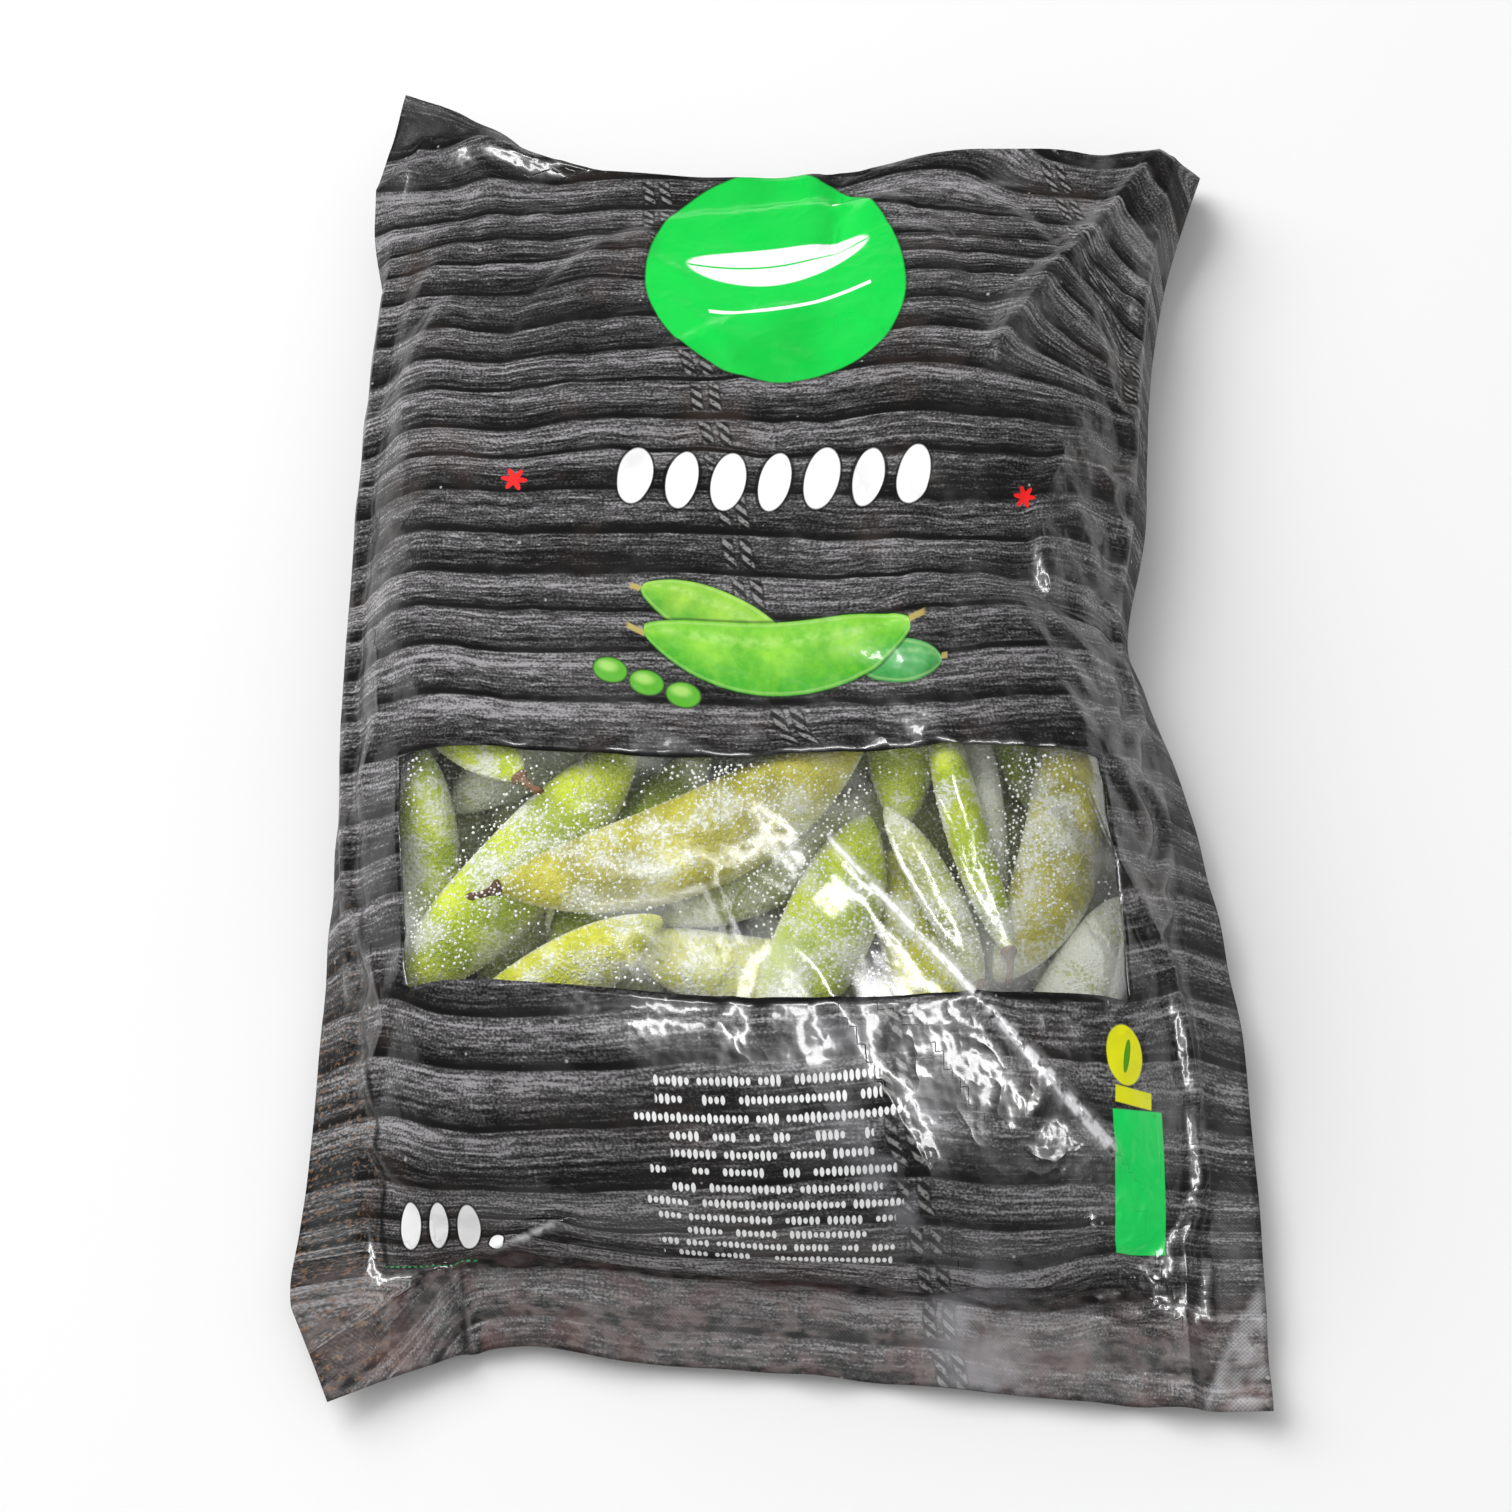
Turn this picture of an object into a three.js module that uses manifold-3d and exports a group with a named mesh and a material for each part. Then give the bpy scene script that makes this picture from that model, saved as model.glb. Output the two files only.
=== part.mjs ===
// A heat-sealed bag of frozen edamame: two webs of printed film welded along all four sides, a clear
// window in the front web, and about a hundred soybean pods frozen inside, lying on its back.
//
// Millimetres, +Z up. The origin is on the surface that the bag lies on, under the middle of its box.
// +Y runs from the bottom seal to the top seal and +X from the left side seal to the right one.
//
// Flat film coordinates: s runs across the bag from -CUT_WIDTH / 2 to CUT_WIDTH / 2, and t along it from 0
// at the cut bottom edge to CUT_LENGTH at the cut top edge.

import * as THREE from "three";
import { mergeVertices } from "three/addons/utils/BufferGeometryUtils.js";
import Module from "manifold-3d";

const wasm = await Module();
wasm.setup();

// ---------------------------------------------------------------- driving dimensions

const CUT_WIDTH = 200;
const CUT_LENGTH = 300;
const SIDE_SEAL = 9;
const END_SEAL = 15;

const WEB_THICKNESS = 0.6; // thicker than the real film, so that each web is a sound solid
const WELD_GAP = 0.3; // clearance between pieces that lie face to face
const FOOT = { x: 3, y: 4, radius: 36, slope: 0.035 }; // the flat the bag rests on, and how the back rises round it

const WINDOW = { left: -71.5, right: 72.5, bottom: 75.5, top: 121.5, overlap: 5, thickness: 0.5 };

const HALF_CORE = CUT_WIDTH / 2 - SIDE_SEAL;
const CORE_BOTTOM = END_SEAL;
const CORE_TOP = CUT_LENGTH - END_SEAL;

// ---------------------------------------------------------------- curves

// A smooth curve through rows of [parameter, x, y, z], read at a parameter.
function curveThrough(rows) {
  const last = rows.length - 1;
  const slopeAt = (i, k) => {
    const a = rows[Math.max(i - 1, 0)];
    const b = rows[Math.min(i + 1, last)];
    return (b[k] - a[k]) / (b[0] - a[0]);
  };
  return (parameter) => {
    const p = Math.min(Math.max(parameter, rows[0][0]), rows[last][0]);
    let i = 0;
    while (i < last - 1 && rows[i + 1][0] < p) i += 1;
    const span = rows[i + 1][0] - rows[i][0];
    const f = (p - rows[i][0]) / span;
    return [1, 2, 3].map(
      (k) =>
        rows[i][k] * (1 + 2 * f) * (1 - f) ** 2 +
        slopeAt(i, k) * span * f * (1 - f) ** 2 +
        rows[i + 1][k] * f * f * (3 - 2 * f) +
        slopeAt(i + 1, k) * span * f * f * (f - 1),
    );
  };
}

// Where the welds end and the filled pouch begins: [t or s, x, y, z].
const leftRim = curveThrough([
  [15, -72, -103, 4],
  [45, -74, -80, 8],
  [76, -77, -52, 13],
  [123, -80, -7, 17],
  [160, -80, 28, 19],
  [210, -79, 74, 19],
  [250, -76.5, 110, 19.5],
  [285, -71, 141, 22],
]);
const rightRim = curveThrough([
  [15, 84, -110, 4],
  [45, 83.5, -84, 8],
  [76, 82, -52, 13],
  [123, 78, -5, 16.5],
  [145, 73.5, 16, 17.5],
  [156, 71.5, 26, 18],
  [184, 75.5, 51, 18],
  [222, 79, 86, 18],
  [254, 83, 113, 17],
  [285, 89, 140, 16],
]);
const bottomRim = curveThrough([
  [-91, -72, -103, 4],
  [-55, -46, -98.5, 3.4],
  [0, 6, -103, 3],
  [50, 53, -107, 3],
  [91, 84, -110, 4],
]);
const topRim = curveThrough([
  [-91, -71, 141, 22],
  [-68, -56, 142.5, 18],
  [-45, -35, 136, 16.5],
  [0, 9, 134.5, 16],
  [40, 48, 141.5, 16],
  [91, 89, 140, 16],
]);

// The cut edges of the welded film outside those rims.
const leftEdge = curveThrough([
  [0, -77, -124, 5],
  [15, -84.5, -107, 5.5],
  [45, -83, -82, 6],
  [76, -82, -52, 6.6],
  [123, -81, -7, 8.6],
  [160, -81, 28, 10],
  [210, -78.8, 74, 10.5],
  [240, -77.5, 103, 10.6],
  [262, -80, 121, 16],
  [285, -77.5, 138, 21],
  [300, -74, 149, 24],
]);
const rightEdge = curveThrough([
  [0, 93, -125.5, 4],
  [15, 93, -111, 4.4],
  [45, 92.8, -84, 6.4],
  [76, 91.3, -53, 7.6],
  [100, 88, -28, 7.6],
  [123, 83.3, -5, 8.6],
  [145, 76.8, 16, 9.2],
  [156, 73.7, 26, 9.6],
  [184, 78.5, 51, 9.4],
  [222, 81.5, 86, 9.6],
  [254, 86.5, 113, 9.5],
  [285, 95, 138.5, 10],
  [300, 96, 143, 3],
]);
const bottomEdge = curveThrough([
  [-100, -77, -124, 5],
  [-91, -68.5, -120, 4],
  [-55, -44, -113, 3.6],
  [-30, -23, -116, 2.6],
  [0, 6, -118, 2.4],
  [50, 53, -122.5, 2.4],
  [91, 84, -125, 3],
  [100, 93, -125.5, 4],
]);
const topEdge = curveThrough([
  [-100, -74, 149, 24],
  [-91, -67, 148, 23],
  [-68, -54.5, 148.5, 12],
  [-45, -35, 141, 3],
  [0, 9, 139, 1.9],
  [40, 48, 145.5, 1.9],
  [91, 89, 144, 1.9],
  [100, 96, 143, 3],
]);

// The front web's middle line, from the bottom rim to the top rim: [t, unused, y, z].
const frontSpine = curveThrough([
  [15, 0, -103, 3],
  [27, 0, -100, 14],
  [40, 0, -93.5, 25.5],
  [55, 0, -82, 35],
  [76, 0, -61.6, 42.5],
  [100, 0, -38, 46],
  [123, 0, -16, 47.5],
  [150, 0, 10, 47.5],
  [182, 0, 42, 44.5],
  [210, 0, 70, 40],
  [238, 0, 96, 32],
  [262, 0, 117, 24],
  [285, 0, 136, 16],
]);

// ---------------------------------------------------------------- the two webs as surfaces

const mix = (a, b, f) => a.map((v, k) => v + (b[k] - v) * f);

// Share of the half width that a film coordinate reaches: even in the middle, crowded at the steep sides.
const acrossShare = (share) => share * (1.11 - 0.11 * share ** 6);

// The surface that both webs would lie in if the bag were empty, at a film coordinate.
function emptyBag(s, t) {
  const inS = Math.min(Math.max(s, -HALF_CORE), HALF_CORE);
  const inT = Math.min(Math.max(t, CORE_BOTTOM), CORE_TOP);
  const spineStart = frontSpine(CORE_BOTTOM)[1];
  const spineEnd = frontSpine(CORE_TOP)[1];
  const u = (acrossShare(inS / HALF_CORE) + 1) / 2;
  const v = (frontSpine(inT)[1] - spineStart) / (spineEnd - spineStart);
  const across = mix(leftRim(inT), rightRim(inT), u);
  const along = mix(bottomRim(inS), topRim(inS), v);
  const low = mix(bottomRim(-HALF_CORE), bottomRim(HALF_CORE), u);
  const high = mix(topRim(-HALF_CORE), topRim(HALF_CORE), u);
  const corners = mix(low, high, v);
  let point = across.map((value, k) => value + along[k] - corners[k]);
  const overSide = Math.abs(s) - HALF_CORE;
  const overEnd = Math.abs(t - CUT_LENGTH / 2) - (CORE_TOP - CORE_BOTTOM) / 2;
  const sideEdge = s < 0 ? leftEdge : rightEdge;
  const endEdge = t < CUT_LENGTH / 2 ? bottomEdge : topEdge;
  if (overSide > 0 && overEnd > 0) {
    const a = mix(point, sideEdge(inT), overSide / SIDE_SEAL);
    const b = mix(endEdge(inS), endEdge(s < 0 ? -CUT_WIDTH / 2 : CUT_WIDTH / 2), overSide / SIDE_SEAL);
    point = mix(a, b, overEnd / END_SEAL);
  } else if (overSide > 0) {
    point = mix(point, sideEdge(t), overSide / SIDE_SEAL);
  } else if (overEnd > 0) {
    point = mix(point, endEdge(s), overEnd / END_SEAL);
  }
  return point;
}

const inCore = (s, t) => Math.abs(s) < HALF_CORE && t > CORE_BOTTOM && t < CORE_TOP;

// The front web stands on the rims as a pillow that follows the spine.
function frontWeb(s, t) {
  const [x, y, z] = emptyBag(s, t);
  if (!inCore(s, t)) return [x, y, z];
  const [, emptyY, emptyZ] = emptyBag(0, t);
  const [, fullY, fullZ] = frontSpine(t);
  const share = Math.abs(s / HALF_CORE);
  return [x, y + (fullY - emptyY) * (1 - share ** 2), z + (fullZ - emptyZ) * (1 - share ** 4)];
}

// The back web sags from the rims to a small flat foot.
function backWeb(s, t) {
  const [x, y, z] = emptyBag(s, t);
  if (!inCore(s, t)) return [x, y, z];
  const side = 1 - Math.abs(s / HALF_CORE) ** 3;
  const end = 1 - Math.abs((2 * (t - CORE_BOTTOM)) / (CORE_TOP - CORE_BOTTOM) - 1) ** 5;
  const awayFromFoot = Math.max(0, Math.hypot(x - FOOT.x, y - FOOT.y) - FOOT.radius);
  return [x, y, Math.max(FOOT.slope * awayFromFoot, z - 34 * side * end)];
}

// ---------------------------------------------------------------- closed sheets

// Evenly spread values from each stop to the next, with the given number of steps in each span.
function gridLines(stops, steps) {
  const lines = [stops[0]];
  steps.forEach((count, i) => {
    for (let k = 1; k <= count; k += 1) lines.push(stops[i] + ((stops[i + 1] - stops[i]) * k) / count);
  });
  return lines;
}

// All three sheets share one grid, so that their faces stay parallel where they lie against each other.
const clearEdge = {
  left: WINDOW.left - WINDOW.overlap,
  right: WINDOW.right + WINDOW.overlap,
  bottom: WINDOW.bottom - WINDOW.overlap,
  top: WINDOW.top + WINDOW.overlap,
};
const sLines = gridLines(
  [-CUT_WIDTH / 2, -HALF_CORE, clearEdge.left, WINDOW.left, WINDOW.right, clearEdge.right, HALF_CORE, CUT_WIDTH / 2],
  [1, 3, 1, 8, 1, 3, 1],
);
const tLines = gridLines(
  [0, CORE_BOTTOM, clearEdge.bottom, WINDOW.bottom, WINDOW.top, clearEdge.top, CORE_TOP, CUT_LENGTH],
  [1, 7, 1, 4, 1, 7, 1],
);
const GRID_WIDTH = sLines.length;

// The two triangles of a grid cell, as places in the grid. Neighbouring cells are cut the other way.
function cellTriangles(i, j) {
  const a = j * GRID_WIDTH + i;
  const [b, c, d] = [a + 1, a + GRID_WIDTH + 1, a + GRID_WIDTH];
  return (i + j) % 2 ? [[a, b, c], [a, c, d]] : [[a, b, d], [b, c, d]];
}

function gridCells(keep) {
  const cells = [];
  for (let j = 0; j < tLines.length - 1; j += 1) {
    for (let i = 0; i < GRID_WIDTH - 1; i += 1) if (keep(i, j)) cells.push([i, j]);
  }
  return cells;
}

// The grid's points on a surface, each moved along the surface's own normal by an offset. Welded points take
// their normal from the weld alone, so that both webs agree about it.
function gridFace(surface, offset) {
  const points = [];
  const welded = [];
  for (const t of tLines) {
    for (const s of sLines) {
      points.push(new THREE.Vector3(...surface(s, t)));
      welded.push(!inCore(s, t));
    }
  }
  const normals = points.map(() => new THREE.Vector3());
  for (const [i, j] of gridCells(() => true)) {
    for (const [a, b, c] of cellTriangles(i, j)) {
      const face = points[b].clone().sub(points[a]).cross(points[c].clone().sub(points[a]));
      const inWeld = welded[a] && welded[b] && welded[c];
      for (const v of [a, b, c]) if (inWeld || !welded[v]) normals[v].add(face);
    }
  }
  return points.map((point, k) => point.addScaledVector(normals[k].normalize(), offset));
}

// A closed sheet between two faces of the grid, over the cells that keep accepts.
function closedSheet(top, bottom, keep) {
  const positions = [];
  const push = (...points) => points.forEach((p) => positions.push(p.x, p.y, p.z));
  const rims = new Map();
  for (const [i, j] of gridCells(keep)) {
    for (const [a, b, c] of cellTriangles(i, j)) {
      push(top[a], top[b], top[c]);
      push(bottom[a], bottom[c], bottom[b]);
      for (const [p, q] of [[a, b], [b, c], [c, a]]) {
        if (!rims.delete(`${q},${p}`)) rims.set(`${p},${q}`, [p, q]);
      }
    }
  }
  for (const [p, q] of rims.values()) {
    push(top[p], bottom[p], top[q]);
    push(top[q], bottom[p], bottom[q]);
  }
  return new THREE.BufferGeometry().setAttribute("position", new THREE.Float32BufferAttribute(positions, 3));
}

const everywhere = () => true;
const within = (zone) => (i, j) =>
  sLines[i] >= zone.left && sLines[i + 1] <= zone.right && tLines[j] >= zone.bottom && tLines[j + 1] <= zone.top;
const inWindow = within(WINDOW);

function frontWebGeometry() {
  const inner = WELD_GAP / 2;
  const outer = inner + WEB_THICKNESS;
  return closedSheet(gridFace(frontWeb, outer), gridFace(frontWeb, inner), (i, j) => !inWindow(i, j));
}

function backWebGeometry() {
  const inner = -WELD_GAP / 2;
  return closedSheet(gridFace(backWeb, inner), gridFace(backWeb, inner - WEB_THICKNESS), everywhere);
}

// The clear film spans the opening from inside, welded round its edge.
function windowGeometry() {
  const outer = -WELD_GAP / 2;
  const inner = outer - WINDOW.thickness;
  return closedSheet(gridFace(frontWeb, outer), gridFace(frontWeb, inner), within(clearEdge));
}

// ---------------------------------------------------------------- room inside the bag

// Heights in millimetres on a square grid of cells that covers the bag.
const MAP = { left: -95, bottom: -135, cell: 1, columns: 200, rows: 300 };
const heightMap = (value) => new Float64Array(MAP.columns * MAP.rows).fill(value);
const cellAt = (x, y) =>
  Math.floor((y - MAP.bottom) / MAP.cell) * MAP.columns + Math.floor((x - MAP.left) / MAP.cell);

// Writes a sheet's height into a map, keeping the lowest (or highest) of what falls in each cell.
function sheetHeights(face, keepLowest) {
  const map = heightMap(keepLowest ? Infinity : -Infinity);
  const steps = 24;
  for (const [i, j] of gridCells(everywhere)) {
    for (const [a, b, c] of cellTriangles(i, j)) {
      for (let m = 0; m <= steps; m += 1) {
        for (let n = 0; n <= steps - m; n += 1) {
          const [f, g] = [m / steps, n / steps];
          const point = [0, 1, 2].map((k) => {
            const [pa, pb, pc] = [face[a], face[b], face[c]].map((p) => p.getComponent(k));
            return pa + (pb - pa) * f + (pc - pa) * g;
          });
          const cell = cellAt(point[0], point[1]);
          map[cell] = keepLowest ? Math.min(map[cell], point[2]) : Math.max(map[cell], point[2]);
        }
      }
    }
  }
  return map.map((height) => (Number.isFinite(height) ? height : 0));
}

const FILM_CLEARANCE = 1.4;
const ceiling = sheetHeights(gridFace(frontWeb, -FILM_CLEARANCE), true);
const film = ceiling.slice();
const ground = sheetHeights(gridFace(backWeb, FILM_CLEARANCE / 2), false);

// ---------------------------------------------------------------- one pod

// Along a pod, u runs from -1 at the stalk end to 1 at the tip. The places of its seeds:
const SEEDS = { 2: [-0.36, 0.32], 3: [-0.52, 0.0, 0.5] };

const podHalfWidth = (pod, u) => (pod.width / 2) * Math.max(0, 1 - Math.abs(u) ** 2.4) ** 0.75;

function podHalfThickness(pod, u) {
  const swell = SEEDS[pod.seeds].reduce((sum, seat) => sum + Math.exp(-(((u - seat) / 0.2) ** 2)), 0);
  return (pod.thickness / 2) * Math.max(0, 1 - Math.abs(u) ** 2.4) ** 0.6 * (0.66 + 0.34 * swell);
}

// The middle line's sideways bow. A positive bend bows the middle toward the pod's own -y.
const podBow = (pod, u) => pod.bend * pod.length * (u * u - 1 / 3);

// From the pod's own x and y to the bag's.
function podPlace(pod, x, y) {
  return [pod.x + x * pod.cos - y * pod.sin, pod.y + x * pod.sin + y * pod.cos];
}

// Points spread over a pod's outline, grown by a margin, with its half thickness there. The outline's core
// alone is taken with a share below 1.
function podSamples(pod, margin, stepsAlong, stepsAcross, share = 1) {
  const samples = [];
  for (let m = 0; m < stepsAlong; m += 1) {
    const u = share * (-0.985 + (1.97 * m) / (stepsAlong - 1));
    const x = u * (pod.length / 2 + margin);
    for (let n = 0; n < stepsAcross; n += 1) {
      const v = share * (-0.94 + (1.88 * n) / (stepsAcross - 1));
      const y = podBow(pod, u) + v * (podHalfWidth(pod, u) + margin);
      samples.push([x, y, podHalfThickness(pod, u) * Math.sqrt(1 - v * v)]);
    }
  }
  return samples;
}

// Slopes along and across the pod, read from a map at four points of it.
function leanOn(map, pod) {
  const height = (x, y) => map[cellAt(...podPlace(pod, x, y))];
  const [reach, side] = [pod.length * 0.3, pod.width * 0.3];
  const limit = (slope) => Math.min(Math.max(slope, -0.3), 0.3);
  pod.tilt = limit((height(reach, 0) - height(-reach, 0)) / (2 * reach));
  pod.roll = limit((height(0, side) - height(0, -side)) / (2 * side));
}

const POD_GAP = 0.35; // vertical clearance between pods of different nodes
const POD_MARGIN = 0.7; // sideways clearance between them
const FROZEN_DEPTH = 3; // how far the pods of a clump sink into each other

// Marks a settled pod in a map, from above (side 1) or from below (side -1).
function mark(map, pod, side, margin, share = 1) {
  for (const [x, y, half] of podSamples(pod, margin, 96, 31, share)) {
    const cell = cellAt(...podPlace(pod, x, y));
    const height = pod.z + pod.tilt * x + pod.roll * y + side * half;
    map[cell] = side > 0 ? Math.max(map[cell], height) : Math.min(map[cell], height);
  }
}

// ---------------------------------------------------------------- packing the pods

// Repeatable draws.
let drawState = 20417;
function draw(low, high) {
  drawState = (Math.imul(drawState, 1664525) + 1013904223) >>> 0;
  return low + ((high - low) * drawState) / 4294967296;
}

function makePod(spec) {
  const yaw = (spec.yaw * Math.PI) / 180;
  return { tilt: 0, roll: 0, z: 0, ...spec, cos: Math.cos(yaw), sin: Math.sin(yaw) };
}

// The pods that show in the window, placed by hand: the middle in x and y, the direction from stalk to tip in
// degrees, and how far each stays below the film.
const SHOWN_PODS = [
  { x: -11, y: -26, yaw: 25, length: 76, width: 17.5, thickness: 11, bend: 0.1, seeds: 3, below: 0 },
  { x: -43, y: -35, yaw: 50, length: 64, width: 15.5, thickness: 11, bend: 0.02, seeds: 3, below: 0 },
  { x: 38.7, y: -24.8, yaw: 104, length: 52, width: 6.5, thickness: 9, bend: -0.03, seeds: 2, below: 0 },
  { x: 34.5, y: -34, yaw: 124, length: 38, width: 6.5, thickness: 9, bend: 0.03, seeds: 2, below: 0.5 },
  { x: 60, y: -29, yaw: 72, length: 62, width: 14, thickness: 10, bend: 0.11, seeds: 3, below: 0 },
  { x: 32, y: 2, yaw: -93, length: 56, width: 14, thickness: 10, bend: 0.03, seeds: 2, below: 0.5 },
  { x: -64, y: 6, yaw: -65, length: 58, width: 14, thickness: 10, bend: 0.05, seeds: 3, below: 0.5 },
  { x: 47.5, y: -31, yaw: 88, length: 50, width: 6.5, thickness: 9, bend: 0, seeds: 2, below: 2 },
  { x: 17, y: -42, yaw: 58, length: 50, width: 15.5, thickness: 10.5, bend: 0.03, seeds: 2, below: 0.5 },
  { x: -47, y: -57, yaw: 30, length: 60, width: 14, thickness: 10, bend: -0.04, seeds: 3, below: 1 },
  { x: -62, y: -40, yaw: 82, length: 60, width: 14, thickness: 10, bend: 0.03, seeds: 3, below: 2 },
  { x: 1, y: -50, yaw: -8, length: 42, width: 13.5, thickness: 9.5, bend: 0.08, seeds: 2, below: 1 },
  { x: -29, y: -27, yaw: 56, length: 54, width: 14, thickness: 10, bend: -0.03, seeds: 2, below: 2 },
  { x: 33, y: -52, yaw: -60, length: 46, width: 13.5, thickness: 10, bend: 0.04, seeds: 2, below: 1 },
  { x: -40, y: 0, yaw: 32, length: 58, width: 14, thickness: 10, bend: 0.04, seeds: 3, below: 3 },
  { x: -13, y: -5, yaw: 33, length: 60, width: 14, thickness: 10, bend: 0.03, seeds: 3, below: 3 },
  { x: -4, y: -67, yaw: 4, length: 58, width: 14, thickness: 10, bend: 0.03, seeds: 3, below: 0.5 },
  { x: 61, y: -58, yaw: 62, length: 56, width: 14, thickness: 10, bend: 0.02, seeds: 3, below: 2 },
  { x: 54, y: 0, yaw: -72, length: 50, width: 13, thickness: 9.5, bend: 0.03, seeds: 2, below: 2 },
];

const SHOWN = { tries: 160, shift: 5, turn: 10, lean: 0.25, gain: 0.8 };
const FREE_LEAN = 0.16;

// Each shown pod rises until it meets the film or a pod placed before it, at the highest of a few places close
// to the one listed.
function placeShown() {
  return SHOWN_PODS.map((spec) => {
    let best = null;
    for (let k = 0; k < SHOWN.tries; k += 1) {
      const loose = k === 0 ? 0 : 1;
      const shift = () => loose * draw(-SHOWN.shift, SHOWN.shift);
      const turn = () => loose * draw(-SHOWN.turn, SHOWN.turn);
      const pod = makePod({ ...spec, x: spec.x + shift(), y: spec.y + shift(), yaw: spec.yaw + turn() });
      leanOn(film, pod);
      pod.tilt += loose * draw(-SHOWN.lean, SHOWN.lean);
      pod.roll += loose * draw(-SHOWN.lean, SHOWN.lean);
      pod.z = Infinity;
      for (const [x, y, half] of podSamples(pod, 0, 34, 7)) {
        const room = ceiling[cellAt(...podPlace(pod, x, y))] - POD_GAP - half - pod.tilt * x - pod.roll * y;
        pod.z = Math.min(pod.z, room);
      }
      if (best === null || pod.z > best.z + SHOWN.gain) best = pod;
    }
    best.z -= best.below;
    mark(ceiling, best, -1, POD_MARGIN);
    return best;
  });
}

const NOTHING = -1000;
const CORE_SHARE = 0.6; // the part of a pod's outline in which the pods of a clump meet
const ownTops = heightMap(NOTHING);

// Drops a pod on what lies below it. A pod that would touch the film has no place. In a clump the pod has to
// land on a pod of the same clump.
function settle(pod, inClump) {
  leanOn(ground, pod);
  pod.tilt += draw(-FREE_LEAN, FREE_LEAN);
  pod.roll += draw(-FREE_LEAN, FREE_LEAN);
  const cut = (share) =>
    podSamples(pod, 0, 34, 7, share).map(([x, y, half]) => {
      const lean = pod.tilt * x + pod.roll * y;
      return [cellAt(...podPlace(pod, x, y)), lean - half, lean + half];
    });
  const samples = cut(1);
  const onOthers = samples.reduce((z, [cell, low]) => Math.max(z, ground[cell] + POD_GAP - low), NOTHING);
  const onOwn = inClump
    ? cut(CORE_SHARE).reduce((z, [cell, low]) => Math.max(z, ownTops[cell] - FROZEN_DEPTH - low), NOTHING)
    : NOTHING;
  pod.z = Math.max(onOthers, onOwn);
  const fits = samples.every(([cell, , high]) => pod.z + high + POD_GAP < ceiling[cell]);
  return fits && (!inClump || onOwn >= onOthers);
}

const REACH = { left: -72, right: 82, bottom: -104, top: 132 };

function drawPod(x, y, spread) {
  return makePod({
    x: spread ? x + draw(-spread, spread) : draw(REACH.left, REACH.right),
    y: spread ? y + draw(-spread, spread) : draw(REACH.bottom, REACH.top),
    yaw: draw(0, 360),
    length: draw(50, 68),
    width: draw(12.5, 15.5),
    thickness: draw(9, 10.8),
    bend: draw(-0.07, 0.07),
    seeds: draw(0, 1) < 0.35 ? 2 : 3,
  });
}

// The lowest of many drawn places, or null if none fits.
function lowestPlace(tries, inClump, x, y, spread) {
  let best = null;
  for (let k = 0; k < tries; k += 1) {
    const pod = drawPod(x, y, spread);
    if (settle(pod, inClump) && (best === null || pod.z < best.z)) best = pod;
  }
  return best;
}

const CLUMPS = { count: 9, pods: 8, spread: 34, tries: 600 };
const LOOSE = { count: 24, tries: 3000 };

function placeClumps() {
  const clumps = [];
  for (let c = 0; c < CLUMPS.count; c += 1) {
    const first = lowestPlace(CLUMPS.tries, false, 0, 0, 0);
    if (first === null) break;
    const clump = [first];
    mark(ownTops, first, 1, 0, CORE_SHARE);
    while (clump.length < CLUMPS.pods) {
      const next = lowestPlace(CLUMPS.tries, true, first.x, first.y, CLUMPS.spread);
      if (next === null) break;
      clump.push(next);
      mark(ownTops, next, 1, 0, CORE_SHARE);
    }
    clump.forEach((pod) => mark(ground, pod, 1, POD_MARGIN));
    ownTops.fill(NOTHING);
    clumps.push(clump);
  }
  return clumps;
}

function placeLoose() {
  const pods = [];
  while (pods.length < LOOSE.count) {
    const pod = lowestPlace(LOOSE.tries, false, 0, 0, 0);
    if (pod === null) break;
    mark(ground, pod, 1, POD_MARGIN);
    pods.push(pod);
  }
  return pods;
}

// ---------------------------------------------------------------- pod solids

// A closed solid of rings along the pod, with a pointed tip and stalk end.
function podGeometry(pod, stations, sides) {
  const point = (u, across, up) => {
    const x = (u * pod.length) / 2;
    const y = podBow(pod, u) + across;
    return [...podPlace(pod, x, y), pod.z + pod.tilt * x + pod.roll * y + up];
  };
  const rings = stations.map((u) =>
    Array.from({ length: sides }, (_, k) => {
      const turn = (k / sides) * 2 * Math.PI;
      return point(u, podHalfWidth(pod, u) * Math.cos(turn), podHalfThickness(pod, u) * Math.sin(turn));
    }),
  );
  const stalk = point(-1, 0, 0);
  const tip = point(1, 0, 0);
  const positions = [];
  for (let k = 0; k < sides; k += 1) {
    const next = (k + 1) % sides;
    positions.push(...stalk, ...rings[0][next], ...rings[0][k]);
    for (let r = 0; r + 1 < rings.length; r += 1) {
      positions.push(...rings[r][k], ...rings[r][next], ...rings[r + 1][next]);
      positions.push(...rings[r][k], ...rings[r + 1][next], ...rings[r + 1][k]);
    }
    positions.push(...rings[rings.length - 1][k], ...rings[rings.length - 1][next], ...tip);
  }
  return new THREE.BufferGeometry().setAttribute("position", new THREE.Float32BufferAttribute(positions, 3));
}

const toSolid = (geometry) => {
  const merged = mergeVertices(geometry.clone(), 1e-4);
  return new wasm.Manifold(
    new wasm.Mesh({
      numProp: 3,
      vertProperties: new Float32Array(merged.getAttribute("position").array),
      triVerts: new Uint32Array(merged.getIndex().array),
    }),
  );
};

function fromSolid(solid) {
  const mesh = solid.getMesh();
  const geometry = new THREE.BufferGeometry();
  geometry.setAttribute("position", new THREE.Float32BufferAttribute(mesh.vertProperties, 3));
  geometry.setIndex(new THREE.Uint32BufferAttribute(mesh.triVerts, 1));
  return geometry;
}

const FINE_STATIONS = [-0.93, -0.7, -0.44, -0.15, 0.15, 0.44, 0.7, 0.93];
const PLAIN_STATIONS = [-0.9, -0.55, -0.18, 0.18, 0.55, 0.9];

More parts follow.
